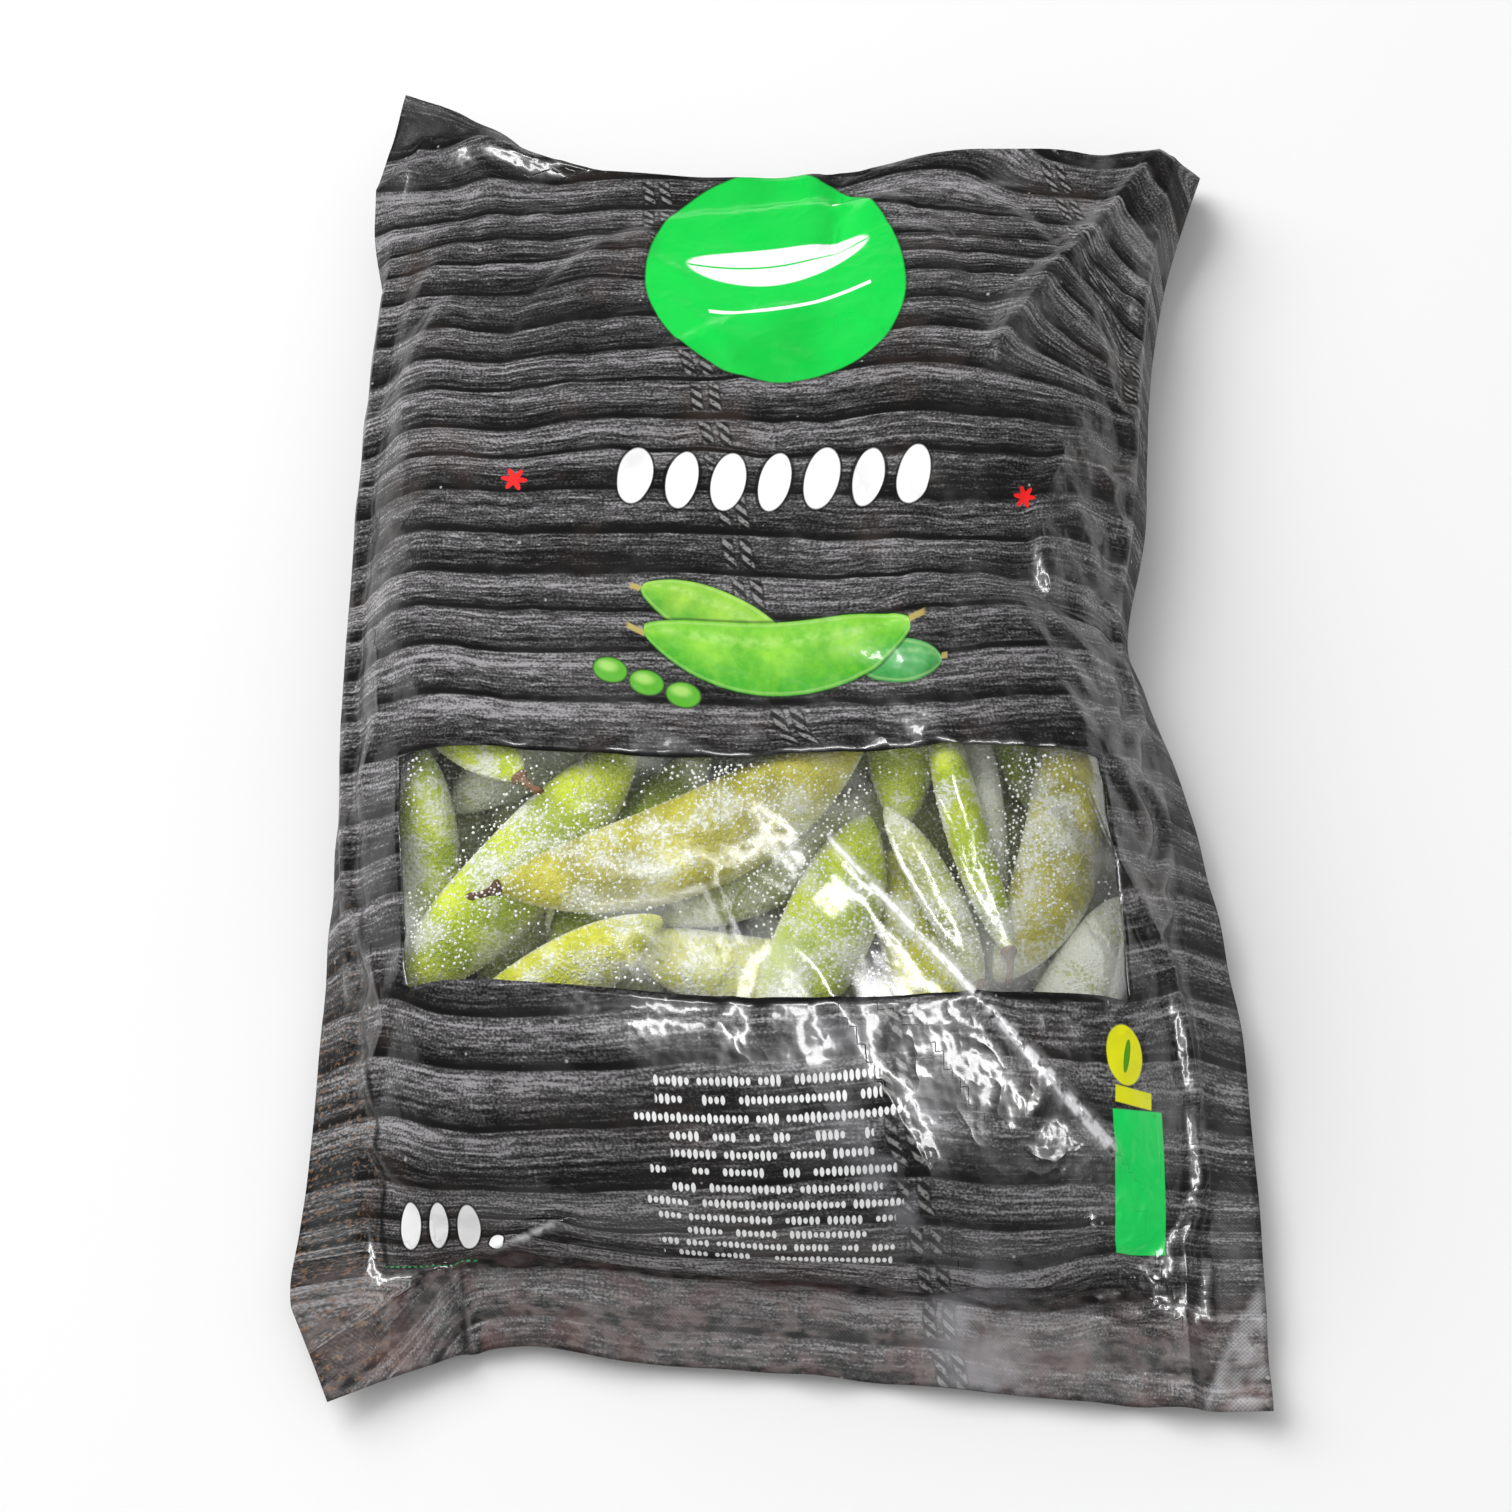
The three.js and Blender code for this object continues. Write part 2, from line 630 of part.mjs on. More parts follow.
const loosePodGeometry = (pod) => podGeometry(pod, FINE_STATIONS, 6);

const clumpGeometry = (clump) =>
  fromSolid(clump.map((pod) => toSolid(podGeometry(pod, PLAIN_STATIONS, 6))).reduce((sum, pod) => sum.add(pod)));

// ---------------------------------------------------------------- assembly

const shownPods = placeShown();
const clumps = placeClumps();
const loosePods = placeLoose();

const bag = new THREE.Group();
bag.name = "frozen_edamame_bag";

function addPiece(name, geometry, colour, roughness, extra = {}) {
  const material = new THREE.MeshStandardMaterial({ color: colour, roughness, metalness: 0, ...extra });
  const mesh = new THREE.Mesh(geometry, material);
  mesh.name = name;
  bag.add(mesh);
}

const numbered = (name, k) => `${name}_${String(k + 1).padStart(2, "0")}`;

addPiece("front_web", frontWebGeometry(), 0x2b2a2b, 0.35);
addPiece("back_web", backWebGeometry(), 0x262526, 0.4);
addPiece("window_film", windowGeometry(), 0xdfe6dc, 0.15, { transparent: true, opacity: 0.35 });
shownPods.forEach((pod, k) => addPiece(numbered("shown_pod", k), loosePodGeometry(pod), 0x8fae3a, 0.6));
clumps.forEach((clump, k) => addPiece(numbered("pod_clump", k), clumpGeometry(clump), 0x86a53a, 0.6));
loosePods.forEach((pod, k) => addPiece(numbered("loose_pod", k), loosePodGeometry(pod), 0x93b040, 0.6));

// The bag was laid out round the middle of its window. Its box goes over the origin here.
const box = new THREE.Box3().setFromObject(bag);
const middle = box.getCenter(new THREE.Vector3());
for (const mesh of bag.children) {
  mesh.geometry.translate(-middle.x, -middle.y, -box.min.z);
  mesh.geometry.computeVertexNormals();
}

export default bag;
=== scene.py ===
"""The looks of a heat-sealed bag of frozen edamame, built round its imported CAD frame.

Sizes are in millimetres in the tables and in metres in the meshes. Film coordinates: s runs across the flat
bag and t runs along it from the bottom seal.
"""

import bpy
import numpy as np
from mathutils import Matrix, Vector


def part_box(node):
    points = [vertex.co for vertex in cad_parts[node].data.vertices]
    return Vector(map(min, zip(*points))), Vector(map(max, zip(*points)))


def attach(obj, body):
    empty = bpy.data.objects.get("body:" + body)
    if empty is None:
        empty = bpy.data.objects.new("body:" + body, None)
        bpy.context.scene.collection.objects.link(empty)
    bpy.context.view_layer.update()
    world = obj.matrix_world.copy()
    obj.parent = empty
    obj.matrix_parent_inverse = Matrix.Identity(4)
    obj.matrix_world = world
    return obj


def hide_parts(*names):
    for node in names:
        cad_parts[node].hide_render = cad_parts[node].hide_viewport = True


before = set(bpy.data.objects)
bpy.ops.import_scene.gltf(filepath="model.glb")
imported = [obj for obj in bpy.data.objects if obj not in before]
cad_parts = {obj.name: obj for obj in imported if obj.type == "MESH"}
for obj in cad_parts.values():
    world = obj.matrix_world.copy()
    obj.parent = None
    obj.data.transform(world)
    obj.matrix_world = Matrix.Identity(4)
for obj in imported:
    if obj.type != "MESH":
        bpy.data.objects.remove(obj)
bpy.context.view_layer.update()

# ---- The bag's form ---------------------------------------------------------------------------------------
# Two webs of printed film, welded round all four sides into a flat pouch and filled, so that it lies as a
# pillow. The curves give the welds and the front's middle line as [t or s, x, y, z].

CUT_WIDTH, CUT_LENGTH = 200, 300
SIDE_SEAL, END_SEAL = 9, 15
HALF_CORE = CUT_WIDTH / 2 - SIDE_SEAL
CORE_BOTTOM, CORE_TOP = END_SEAL, CUT_LENGTH - END_SEAL
WELD_GAP = 0.3
WEB_THICKNESS = 0.6
FOOT_X, FOOT_Y, FOOT_RADIUS, FOOT_SLOPE = 3, 4, 36, 0.035
BACK_SAG = 34
RIM_CROWDING = 0.11
FRAME_TOLERANCE = 0.0005
WINDOW = {"left": -71.5, "right": 72.5, "bottom": 75.5, "top": 121.5, "overlap": 5}


def curve_through(rows):
    """A smooth curve through the rows, read at an array of parameters."""
    rows = np.array(rows, float)
    keys, values = rows[:, 0], rows[:, 1:]
    low = np.maximum(np.arange(len(rows)) - 1, 0)
    high = np.minimum(np.arange(len(rows)) + 1, len(rows) - 1)
    slopes = (values[high] - values[low]) / (keys[high] - keys[low])[:, None]

    def at(parameter):
        p = np.clip(np.asarray(parameter, float), keys[0], keys[-1])
        i = np.clip(np.searchsorted(keys, p, side="left") - 1, 0, len(keys) - 2)
        span = (keys[i + 1] - keys[i])[..., None]
        f = (p - keys[i])[..., None] / span
        return (
            values[i] * (1 + 2 * f) * (1 - f) ** 2
            + slopes[i] * span * f * (1 - f) ** 2
            + values[i + 1] * f * f * (3 - 2 * f)
            + slopes[i + 1] * span * f * f * (f - 1)
        )

    return at


left_rim = curve_through([
    [15, -72, -103, 4],
    [45, -74, -80, 8],
    [76, -77, -52, 13],
    [123, -80, -7, 17],
    [160, -80, 28, 19],
    [210, -79, 74, 19],
    [250, -76.5, 110, 19.5],
    [285, -71, 141, 22],
])
right_rim = curve_through([
    [15, 84, -110, 4],
    [45, 83.5, -84, 8],
    [76, 82, -52, 13],
    [123, 78, -5, 16.5],
    [145, 73.5, 16, 17.5],
    [156, 71.5, 26, 18],
    [184, 75.5, 51, 18],
    [222, 79, 86, 18],
    [254, 83, 113, 17],
    [285, 89, 140, 16],
])
bottom_rim = curve_through([
    [-91, -72, -103, 4],
    [-55, -46, -98.5, 3.4],
    [0, 6, -103, 3],
    [50, 53, -107, 3],
    [91, 84, -110, 4],
])
top_rim = curve_through([
    [-91, -71, 141, 22],
    [-68, -56, 142.5, 18],
    [-45, -35, 136, 16.5],
    [0, 9, 134.5, 16],
    [40, 48, 141.5, 16],
    [91, 89, 140, 16],
])
left_edge = curve_through([
    [0, -77, -124, 5],
    [15, -84.5, -107, 5.5],
    [45, -83, -82, 6],
    [76, -82, -52, 6.6],
    [123, -81, -7, 8.6],
    [160, -81, 28, 10],
    [210, -78.8, 74, 10.5],
    [240, -77.5, 103, 10.6],
    [262, -80, 121, 16],
    [285, -77.5, 138, 21],
    [300, -74, 149, 24],
])
right_edge = curve_through([
    [0, 93, -125.5, 4],
    [15, 93, -111, 4.4],
    [45, 92.8, -84, 6.4],
    [76, 91.3, -53, 7.6],
    [100, 88, -28, 7.6],
    [123, 83.3, -5, 8.6],
    [145, 76.8, 16, 9.2],
    [156, 73.7, 26, 9.6],
    [184, 78.5, 51, 9.4],
    [222, 81.5, 86, 9.6],
    [254, 86.5, 113, 9.5],
    [285, 95, 138.5, 10],
    [300, 96, 143, 3],
])
bottom_edge = curve_through([
    [-100, -77, -124, 5],
    [-91, -68.5, -120, 4],
    [-55, -44, -113, 3.6],
    [-30, -23, -116, 2.6],
    [0, 6, -118, 2.4],
    [50, 53, -122.5, 2.4],
    [91, 84, -125, 3],
    [100, 93, -125.5, 4],
])
top_edge = curve_through([
    [-100, -74, 149, 24],
    [-91, -67, 148, 23],
    [-68, -54.5, 148.5, 12],
    [-45, -35, 141, 3],
    [0, 9, 139, 1.9],
    [40, 48, 145.5, 1.9],
    [91, 89, 144, 1.9],
    [100, 96, 143, 3],
])
front_spine = curve_through([
    [15, 0, -103, 3],
    [27, 0, -100, 14],
    [40, 0, -93.5, 25.5],
    [55, 0, -82, 35],
    [76, 0, -61.6, 42.5],
    [100, 0, -38, 46],
    [123, 0, -16, 47.5],
    [150, 0, 10, 47.5],
    [182, 0, 42, 44.5],
    [210, 0, 70, 40],
    [238, 0, 96, 32],
    [262, 0, 117, 24],
    [285, 0, 136, 16],
])


def empty_bag(s, t):
    """The surface both webs would lie in if the bag were empty."""
    s, t = np.broadcast_arrays(np.asarray(s, float), np.asarray(t, float))
    in_s = np.clip(s, -HALF_CORE, HALF_CORE)
    in_t = np.clip(t, CORE_BOTTOM, CORE_TOP)
    first, last = front_spine(CORE_BOTTOM)[1], front_spine(CORE_TOP)[1]
    share = in_s / HALF_CORE
    u = ((share * (1 + RIM_CROWDING - RIM_CROWDING * share**6) + 1) / 2)[..., None]
    v = ((front_spine(in_t)[..., 1] - first) / (last - first))[..., None]
    across = left_rim(in_t) * (1 - u) + right_rim(in_t) * u
    along = bottom_rim(in_s) * (1 - v) + top_rim(in_s) * v
    low = bottom_rim(-HALF_CORE) * (1 - u) + bottom_rim(HALF_CORE) * u
    high = top_rim(-HALF_CORE) * (1 - u) + top_rim(HALF_CORE) * u
    core = across + along - (low * (1 - v) + high * v)
    over_side = np.clip(np.abs(s) - HALF_CORE, 0, None)[..., None] / SIDE_SEAL
    over_end = np.abs(t - CUT_LENGTH / 2) - (CORE_TOP - CORE_BOTTOM) / 2
    over_end = np.clip(over_end, 0, None)[..., None] / END_SEAL
    at_bottom = (t < CUT_LENGTH / 2)[..., None]
    side = np.where((s < 0)[..., None], left_edge(in_t), right_edge(in_t))
    end = np.where(at_bottom, bottom_edge(in_s), top_edge(in_s))
    corner_s = np.where(s < 0, -CUT_WIDTH / 2, CUT_WIDTH / 2)
    corner = np.where(at_bottom, bottom_edge(corner_s), top_edge(corner_s))
    beside = core + (side - core) * over_side
    beyond = end + (corner - end) * over_side
    return beside + (beyond - beside) * over_end


def in_core(s, t):
    return (np.abs(s) < HALF_CORE) & (t > CORE_BOTTOM) & (t < CORE_TOP)


def front_form(s, t):
    """The front web: a pillow on the welds that follows its middle line."""
    s, t = np.broadcast_arrays(np.asarray(s, float), np.asarray(t, float))
    point = empty_bag(s, t)
    gain = front_spine(t) - empty_bag(0 * s, t)
    share = np.abs(s / HALF_CORE)
    point[..., 1] += np.where(in_core(s, t), gain[..., 1] * (1 - share**2), 0)
    point[..., 2] += np.where(in_core(s, t), gain[..., 2] * (1 - share**4), 0)
    return point


def back_form(s, t):
    """The back web: it sags from the welds to a small flat foot."""
    s, t = np.broadcast_arrays(np.asarray(s, float), np.asarray(t, float))
    point = empty_bag(s, t)
    side = 1 - np.abs(s / HALF_CORE) ** 3
    end = 1 - np.abs((2 * (t - CORE_BOTTOM)) / (CORE_TOP - CORE_BOTTOM) - 1) ** 5
    away = np.hypot(point[..., 0] - FOOT_X, point[..., 1] - FOOT_Y) - FOOT_RADIUS
    sag = np.maximum(FOOT_SLOPE * np.maximum(0, away), point[..., 2] - BACK_SAG * side * end)
    point[..., 2] = np.where(in_core(s, t), sag, point[..., 2])
    return point


def grid_lines(stops, steps):
    """Evenly spread values from each stop to the next."""
    lines = [stops[0]]
    for i, count in enumerate(steps):
        for k in range(1, count + 1):
            lines.append(stops[i] + ((stops[i + 1] - stops[i]) * k) / count)
    return np.array(lines, float)


lap = WINDOW["overlap"]
lapped_s = [WINDOW["left"] - lap, WINDOW["left"], WINDOW["right"], WINDOW["right"] + lap]
lapped_t = [WINDOW["bottom"] - lap, WINDOW["bottom"], WINDOW["top"], WINDOW["top"] + lap]
PLAIN_S = grid_lines(
    [-CUT_WIDTH / 2, -HALF_CORE, *lapped_s, HALF_CORE, CUT_WIDTH / 2], [1, 3, 1, 8, 1, 3, 1]
)
PLAIN_T = grid_lines([0, CORE_BOTTOM, *lapped_t, CORE_TOP, CUT_LENGTH], [1, 7, 1, 4, 1, 7, 1])


def plain_triangles():
    """The CAD webs' triangles on their coarse grid."""
    wide, rows = len(PLAIN_S), []
    for j in range(len(PLAIN_T) - 1):
        for i in range(wide - 1):
            a = j * wide + i
            b, c, d = a + 1, a + wide + 1, a + wide
            rows += [(a, b, c), (a, c, d)] if (i + j) % 2 else [(a, b, d), (b, c, d)]
    return np.array(rows)


def plain_face(form, offset):
    """The coarse grid's points on a form, moved along its normals. Welds keep their own normals."""
    t, s = (lines.ravel() for lines in np.meshgrid(PLAIN_T, PLAIN_S, indexing="ij"))
    points, welded = form(s, t), ~in_core(s, t)
    triangles = plain_triangles()
    a, b, c = (points[triangles[:, k]] for k in range(3))
    crosses = np.repeat(np.cross(b - a, c - a)[:, None], 3, axis=1)
    counted = welded[triangles].all(axis=1)[:, None] | ~welded[triangles]
    normals = np.zeros_like(points)
    np.add.at(normals, triangles[counted], crosses[counted])
    return points + normals / np.linalg.norm(normals, axis=1, keepdims=True) * offset


# The frame's origin is under the middle of the bag's box, and the curves were drawn round its window.
outer_faces = np.concatenate([
    plain_face(front_form, WELD_GAP / 2 + WEB_THICKNESS),
    plain_face(back_form, -WELD_GAP / 2 - WEB_THICKNESS),
])
to_frame = -(outer_faces.min(axis=0) + outer_faces.max(axis=0)) / 2
to_frame[2] = -outer_faces[:, 2].min()
drawn_low = (outer_faces.min(axis=0) + to_frame) / 1000
if np.abs(np.array(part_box("back_web")[0]) - drawn_low)[2] > FRAME_TOLERANCE:
    raise RuntimeError("the bag's form no longer agrees with its CAD frame")


def placed(points):
    """Drawn millimetres as metres in the frame."""
    return (points + to_frame) / 1000

# ---- How the pods lie -------------------------------------------------------------------------------------
# Frozen soybean pods, loose or frozen together in clumps. Those in the window are listed, and the
# rest fall one after another to the lowest of many drawn places, by the rule and draws of the part's source.

MAP_LEFT, MAP_BOTTOM, MAP_COLUMNS, MAP_ROWS = -95, -135, 200, 300
POD_FACTS = ("x", "y", "yaw", "length", "width", "thickness", "bend", "seeds", "below")
SHOWN_PODS = [
    (-11, -26, 25, 76, 17.5, 11, 0.1, 3, 0),
    (-43, -35, 50, 64, 15.5, 11, 0.02, 3, 0),
    (38.7, -24.8, 104, 52, 6.5, 9, -0.03, 2, 0),
    (34.5, -34, 124, 38, 6.5, 9, 0.03, 2, 0.5),
    (60, -29, 72, 62, 14, 10, 0.11, 3, 0),
    (32, 2, -93, 56, 14, 10, 0.03, 2, 0.5),
    (-64, 6, -65, 58, 14, 10, 0.05, 3, 0.5),
    (47.5, -31, 88, 50, 6.5, 9, 0, 2, 2),
    (17, -42, 58, 50, 15.5, 10.5, 0.03, 2, 0.5),
    (-47, -57, 30, 60, 14, 10, -0.04, 3, 1),
    (-62, -40, 82, 60, 14, 10, 0.03, 3, 2),
    (1, -50, -8, 42, 13.5, 9.5, 0.08, 2, 1),
    (-29, -27, 56, 54, 14, 10, -0.03, 2, 2),
    (33, -52, -60, 46, 13.5, 10, 0.04, 2, 1),
    (-40, 0, 32, 58, 14, 10, 0.04, 3, 3),
    (-13, -5, 33, 60, 14, 10, 0.03, 3, 3),
    (-4, -67, 4, 58, 14, 10, 0.03, 3, 0.5),
    (61, -58, 62, 56, 14, 10, 0.02, 3, 2),
    (54, 0, -72, 50, 13, 9.5, 0.03, 2, 2),
]
SEED_SEATS = {2: (-0.36, 0.32), 3: (-0.52, 0.0, 0.5)}
POD_GAP, POD_MARGIN, FROZEN_DEPTH, CORE_SHARE = 0.35, 0.7, 3, 0.6
UNDER_FRONT, OVER_BACK = 1.4, 0.7
MOST_LEAN, MOVED, TURNED, LEANED, WORTH_MOVING = 0.3, 5, 10, 0.25, 0.8
CLUMPS, MOST_IN_CLUMP, MOST_LOOSE = 9, 8, 24
SHOWN_TRIES, CLUMP_TRIES, MOST_TRIES = 160, 600, 3000
COARSE_SPOTS, FINE_SPOTS = (34, 7), (96, 31)
UNREACHED = -1000.0
DRAWS_PER_POD = 10
DRAW_FACTOR, DRAW_STEP, DRAW_RANGE = 1664525, 1013904223, 2**32


def cell_at(x, y):
    """The height map's cell at a place."""
    return (np.floor(y - MAP_BOTTOM) * MAP_COLUMNS + np.floor(x - MAP_LEFT)).astype(int)


def sheet_heights(face, lowest):
    """A coarse sheet's height in each cell of the map."""
    heights = np.full(MAP_COLUMNS * MAP_ROWS, np.inf if lowest else -np.inf)
    steps = 24
    shares = np.array([(m, n) for m in range(steps + 1) for n in range(steps - m + 1)]).T / steps
    f, g = shares[0][None, :, None], shares[1][None, :, None]
    a, b, c = (face[plain_triangles()[:, k]][:, None] for k in range(3))
    points = (a + (b - a) * f + (c - a) * g).reshape(-1, 3)
    choose = np.minimum if lowest else np.maximum
    choose.at(heights, cell_at(points[:, 0], points[:, 1]), points[:, 2])
    heights[~np.isfinite(heights)] = 0
    return heights


# Repeatable draws: the n-th draw from a state is that state times one number plus another.
leap = np.ones(MOST_TRIES * DRAWS_PER_POD, np.uint64)
shift = np.zeros(MOST_TRIES * DRAWS_PER_POD, np.uint64)
step_leap, step_shift = 1, 0
for n in range(len(leap)):
    step_leap = step_leap * DRAW_FACTOR % DRAW_RANGE
    step_shift = (step_shift * DRAW_FACTOR + DRAW_STEP) % DRAW_RANGE
    leap[n], shift[n] = step_leap, step_shift
draw_state = 20417


def draws(count):
    """The next draws, each from 0 to 1."""
    global draw_state
    states = (leap[:count] * np.uint64(draw_state) + shift[:count]) % np.uint64(DRAW_RANGE)
    draw_state = int(states[-1])
    return states / DRAW_RANGE


def between(drawn, low, high):
    """Drawn shares as values from low to high."""
    return low + (high - low) * drawn


def pod_width(u):
    """Share of the full width along a pod, from -1 at the stalk to 1 at the tip."""
    return np.maximum(0, 1 - np.abs(u) ** 2.4) ** 0.75


def pod_swell(u, seeds):
    """Share of the full thickness along a pod."""
    swell = sum(np.exp(-(((u - seat) / 0.2) ** 2)) for seat in SEED_SEATS[seeds])
    return np.maximum(0, 1 - np.abs(u) ** 2.4) ** 0.6 * (0.66 + 0.34 * swell)


def with_direction(pods):
    """Pods as columns of numbers, with the cosine and sine of their direction."""
    turn = pods["yaw"] * np.pi / 180
    pods["cos"], pods["sin"] = np.cos(turn), np.sin(turn)
    return pods


def on_pod(pods, x, y):
    """From each pod's own x and y to the bag's."""
    return (
        pods["x"][:, None] + x * pods["cos"][:, None] - y * pods["sin"][:, None],
        pods["y"][:, None] + x * pods["sin"][:, None] + y * pods["cos"][:, None],
    )


def pod_points(pods, margin, along, across, share=1):
    """Points spread over each pod's outline, with its half thickness there."""
    u = np.repeat(share * (-0.985 + 1.97 * np.arange(along) / (along - 1)), across)
    v = np.tile(share * (-0.94 + 1.88 * np.arange(across) / (across - 1)), along)
    length, width, thickness = (pods[k][:, None] for k in ("length", "width", "thickness"))
    bow = pods["bend"][:, None] * length * (u * u - 1 / 3)
    swell = np.where(pods["seeds"][:, None] == 2, pod_swell(u, 2), pod_swell(u, 3))
    x = u * (length / 2 + margin)
    y = bow + v * ((width / 2) * pod_width(u) + margin)
    return x, y, (thickness / 2) * swell * np.sqrt(1 - v * v)


def lean_on(heights, pods):
    """Each pod's slopes along and across itself, read from the map."""
    reach, side = pods["length"][:, None] * 0.3, pods["width"][:, None] * 0.3
    ahead, behind = (heights[cell_at(*on_pod(pods, x, 0 * x))][:, 0] for x in (reach, -reach))
    left, right = (heights[cell_at(*on_pod(pods, 0 * y, y))][:, 0] for y in (side, -side))
    pods["tilt"] = np.clip((ahead - behind) / (2 * reach[:, 0]), -MOST_LEAN, MOST_LEAN)
    pods["roll"] = np.clip((left - right) / (2 * side[:, 0]), -MOST_LEAN, MOST_LEAN)


def chosen(pods, k):
    """The k-th of several pods, alone."""
    return {key: values[k : k + 1].copy() for key, values in pods.items()}


def mark(heights, pod, side, margin, share=1):
    """Writes a settled pod into a map, from above (side 1) or from below (side -1)."""
    x, y, half = pod_points(pod, margin, *FINE_SPOTS, share)
    height = pod["z"][:, None] + pod["tilt"][:, None] * x + pod["roll"][:, None] * y + side * half
    choose = np.maximum if side > 0 else np.minimum
    choose.at(heights, cell_at(*on_pod(pod, x, y)).ravel(), height.ravel())


film_heights = sheet_heights(plain_face(front_form, -UNDER_FRONT), True)
room_above = film_heights.copy()
pod_tops = sheet_heights(plain_face(back_form, OVER_BACK), False)


def place_shown(facts):
    """One shown pod, raised until it meets the film or a pod placed before it."""
    drawn = draws(SHOWN_TRIES * 5).reshape(SHOWN_TRIES, 5) * 2 - 1
    drawn[0] = 0
    pods = {key: np.full(SHOWN_TRIES, float(value)) for key, value in zip(POD_FACTS, facts)}
    pods["x"] = pods["x"] + drawn[:, 0] * MOVED
    pods["y"] = pods["y"] + drawn[:, 1] * MOVED
    pods["yaw"] = pods["yaw"] + drawn[:, 2] * TURNED
    lean_on(film_heights, with_direction(pods))
    pods["tilt"] += drawn[:, 3] * LEANED
    pods["roll"] += drawn[:, 4] * LEANED
    x, y, half = pod_points(pods, 0, *COARSE_SPOTS)
    lean = pods["tilt"][:, None] * x + pods["roll"][:, None] * y
    pods["z"] = (room_above[cell_at(*on_pod(pods, x, y))] - POD_GAP - half - lean).min(axis=1)
    best = 0
    for k in range(1, SHOWN_TRIES):
        if pods["z"][k] > pods["z"][best] + WORTH_MOVING:
            best = k
    pod = chosen(pods, best)
    pod["z"] -= pod["below"]
    mark(room_above, pod, -1, POD_MARGIN)
    return pod


def lowest_place(tries, clump_tops=None, near=None, spread=34):
    """The lowest of many drawn places that a pod can fall to, or None. In a clump it lands on its own."""
    drawn = draws(tries * DRAWS_PER_POD).reshape(tries, DRAWS_PER_POD).T
    pods = {
        "x": between(drawn[0], -72, 82) if near is None else near["x"] + between(drawn[0], -spread, spread),
        "y": between(drawn[1], -104, 132) if near is None else near["y"] + between(drawn[1], -spread, spread),
        "yaw": between(drawn[2], 0, 360),
        "length": between(drawn[3], 50, 68),
        "width": between(drawn[4], 12.5, 15.5),
        "thickness": between(drawn[5], 9, 10.8),
        "bend": between(drawn[6], -0.07, 0.07),
        "seeds": np.where(drawn[7] < 0.35, 2.0, 3.0),
    }
    lean_on(pod_tops, with_direction(pods))
    pods["tilt"] += between(drawn[8], -0.16, 0.16)
    pods["roll"] += between(drawn[9], -0.16, 0.16)
    x, y, half = pod_points(pods, 0, *COARSE_SPOTS)
    cells = cell_at(*on_pod(pods, x, y))
    lean = pods["tilt"][:, None] * x + pods["roll"][:, None] * y
    on_others = (pod_tops[cells] + POD_GAP - (lean - half)).max(axis=1)
    on_own = np.full(tries, UNREACHED)
    if clump_tops is not None:
        core_x, core_y, core_half = pod_points(pods, 0, *COARSE_SPOTS, CORE_SHARE)
        low = pods["tilt"][:, None] * core_x + pods["roll"][:, None] * core_y - core_half
        on_own = (clump_tops[cell_at(*on_pod(pods, core_x, core_y))] - FROZEN_DEPTH - low).max(axis=1)
    pods["z"] = np.maximum(on_others, on_own)
    fits = (pods["z"][:, None] + lean + half + POD_GAP < room_above[cells]).all(axis=1)
    if clump_tops is not None:
        fits &= on_own >= on_others
    if not fits.any():
        return None
    return chosen(pods, int(np.argmin(np.where(fits, pods["z"], np.inf))))


def place_clump():
    """Pods frozen together: the first falls where it can, and the others onto it and each other."""
    first = lowest_place(CLUMP_TRIES)
    clump, clump_tops = [first], np.full(MAP_COLUMNS * MAP_ROWS, UNREACHED)
    mark(clump_tops, first, 1, 0, CORE_SHARE)
    while len(clump) < MOST_IN_CLUMP:
        pod = lowest_place(CLUMP_TRIES, clump_tops, first)
        if pod is None:
            break
        clump.append(pod)
        mark(clump_tops, pod, 1, 0, CORE_SHARE)
    for pod in clump:
        mark(pod_tops, pod, 1, POD_MARGIN)
    return clump


def place_loose():
    """Single pods on top of the clumps, until no more fit."""
    pods = []
    while len(pods) < MOST_LOOSE:
        pod = lowest_place(MOST_TRIES)
        if pod is None:
            break
        mark(pod_tops, pod, 1, POD_MARGIN)
        pods.append(pod)
    return pods


shown_pods = [place_shown(facts) for facts in SHOWN_PODS]
pod_clumps = [place_clump() for _ in range(CLUMPS)]
loose_pods = place_loose()
for pod in shown_pods:
    mark(pod_tops, pod, 1, 0)

# ---- How the film lies ------------------------------------------------------------------------------------
# The laminate can't stretch, so the slack that a filled flat pouch leaves goes into puckers along the welds,
# sharp creases and sags between the pods. It is relaxed on three grids, each finer than the last.

FILM_S = grid_lines([-100, -HALF_CORE, WINDOW["left"], WINDOW["right"], HALF_CORE, 100], [6, 14, 102, 13, 6])
FILM_T = grid_lines([0, CORE_BOTTOM, WINDOW["bottom"], WINDOW["top"], CORE_TOP, 300], [10, 43, 33, 116, 10])
FILM_LEVELS = [(4, 420, 0.9), (2, 320, 0.3), (1, 220, 0.07)]  # grid step, relaxing rounds, first roughness
SEAL_HOLD, DRIFT_HOLD, FILM_BENDING, FILM_WEIGHT = 0.25, 0.04, 0.08, 0.014
MOST_ABOVE_FORM, MOST_BELOW_FORM, POD_RELIEF, POD_REACH = 2.6, 1.9, 0.2, 9
EDGE_PULL, SLANT_PULL, SEAL_ROUGHNESS, OVER_PODS = 0.45, 0.25, 0.15, 0.25
BACK_LOWEST, BACK_ROOM = -0.6, 3.0
PUCKER_HEIGHT, GATHER_HEIGHT = 1.3, 1.1
FRONT_SEED, BACK_SEED = 31, 47
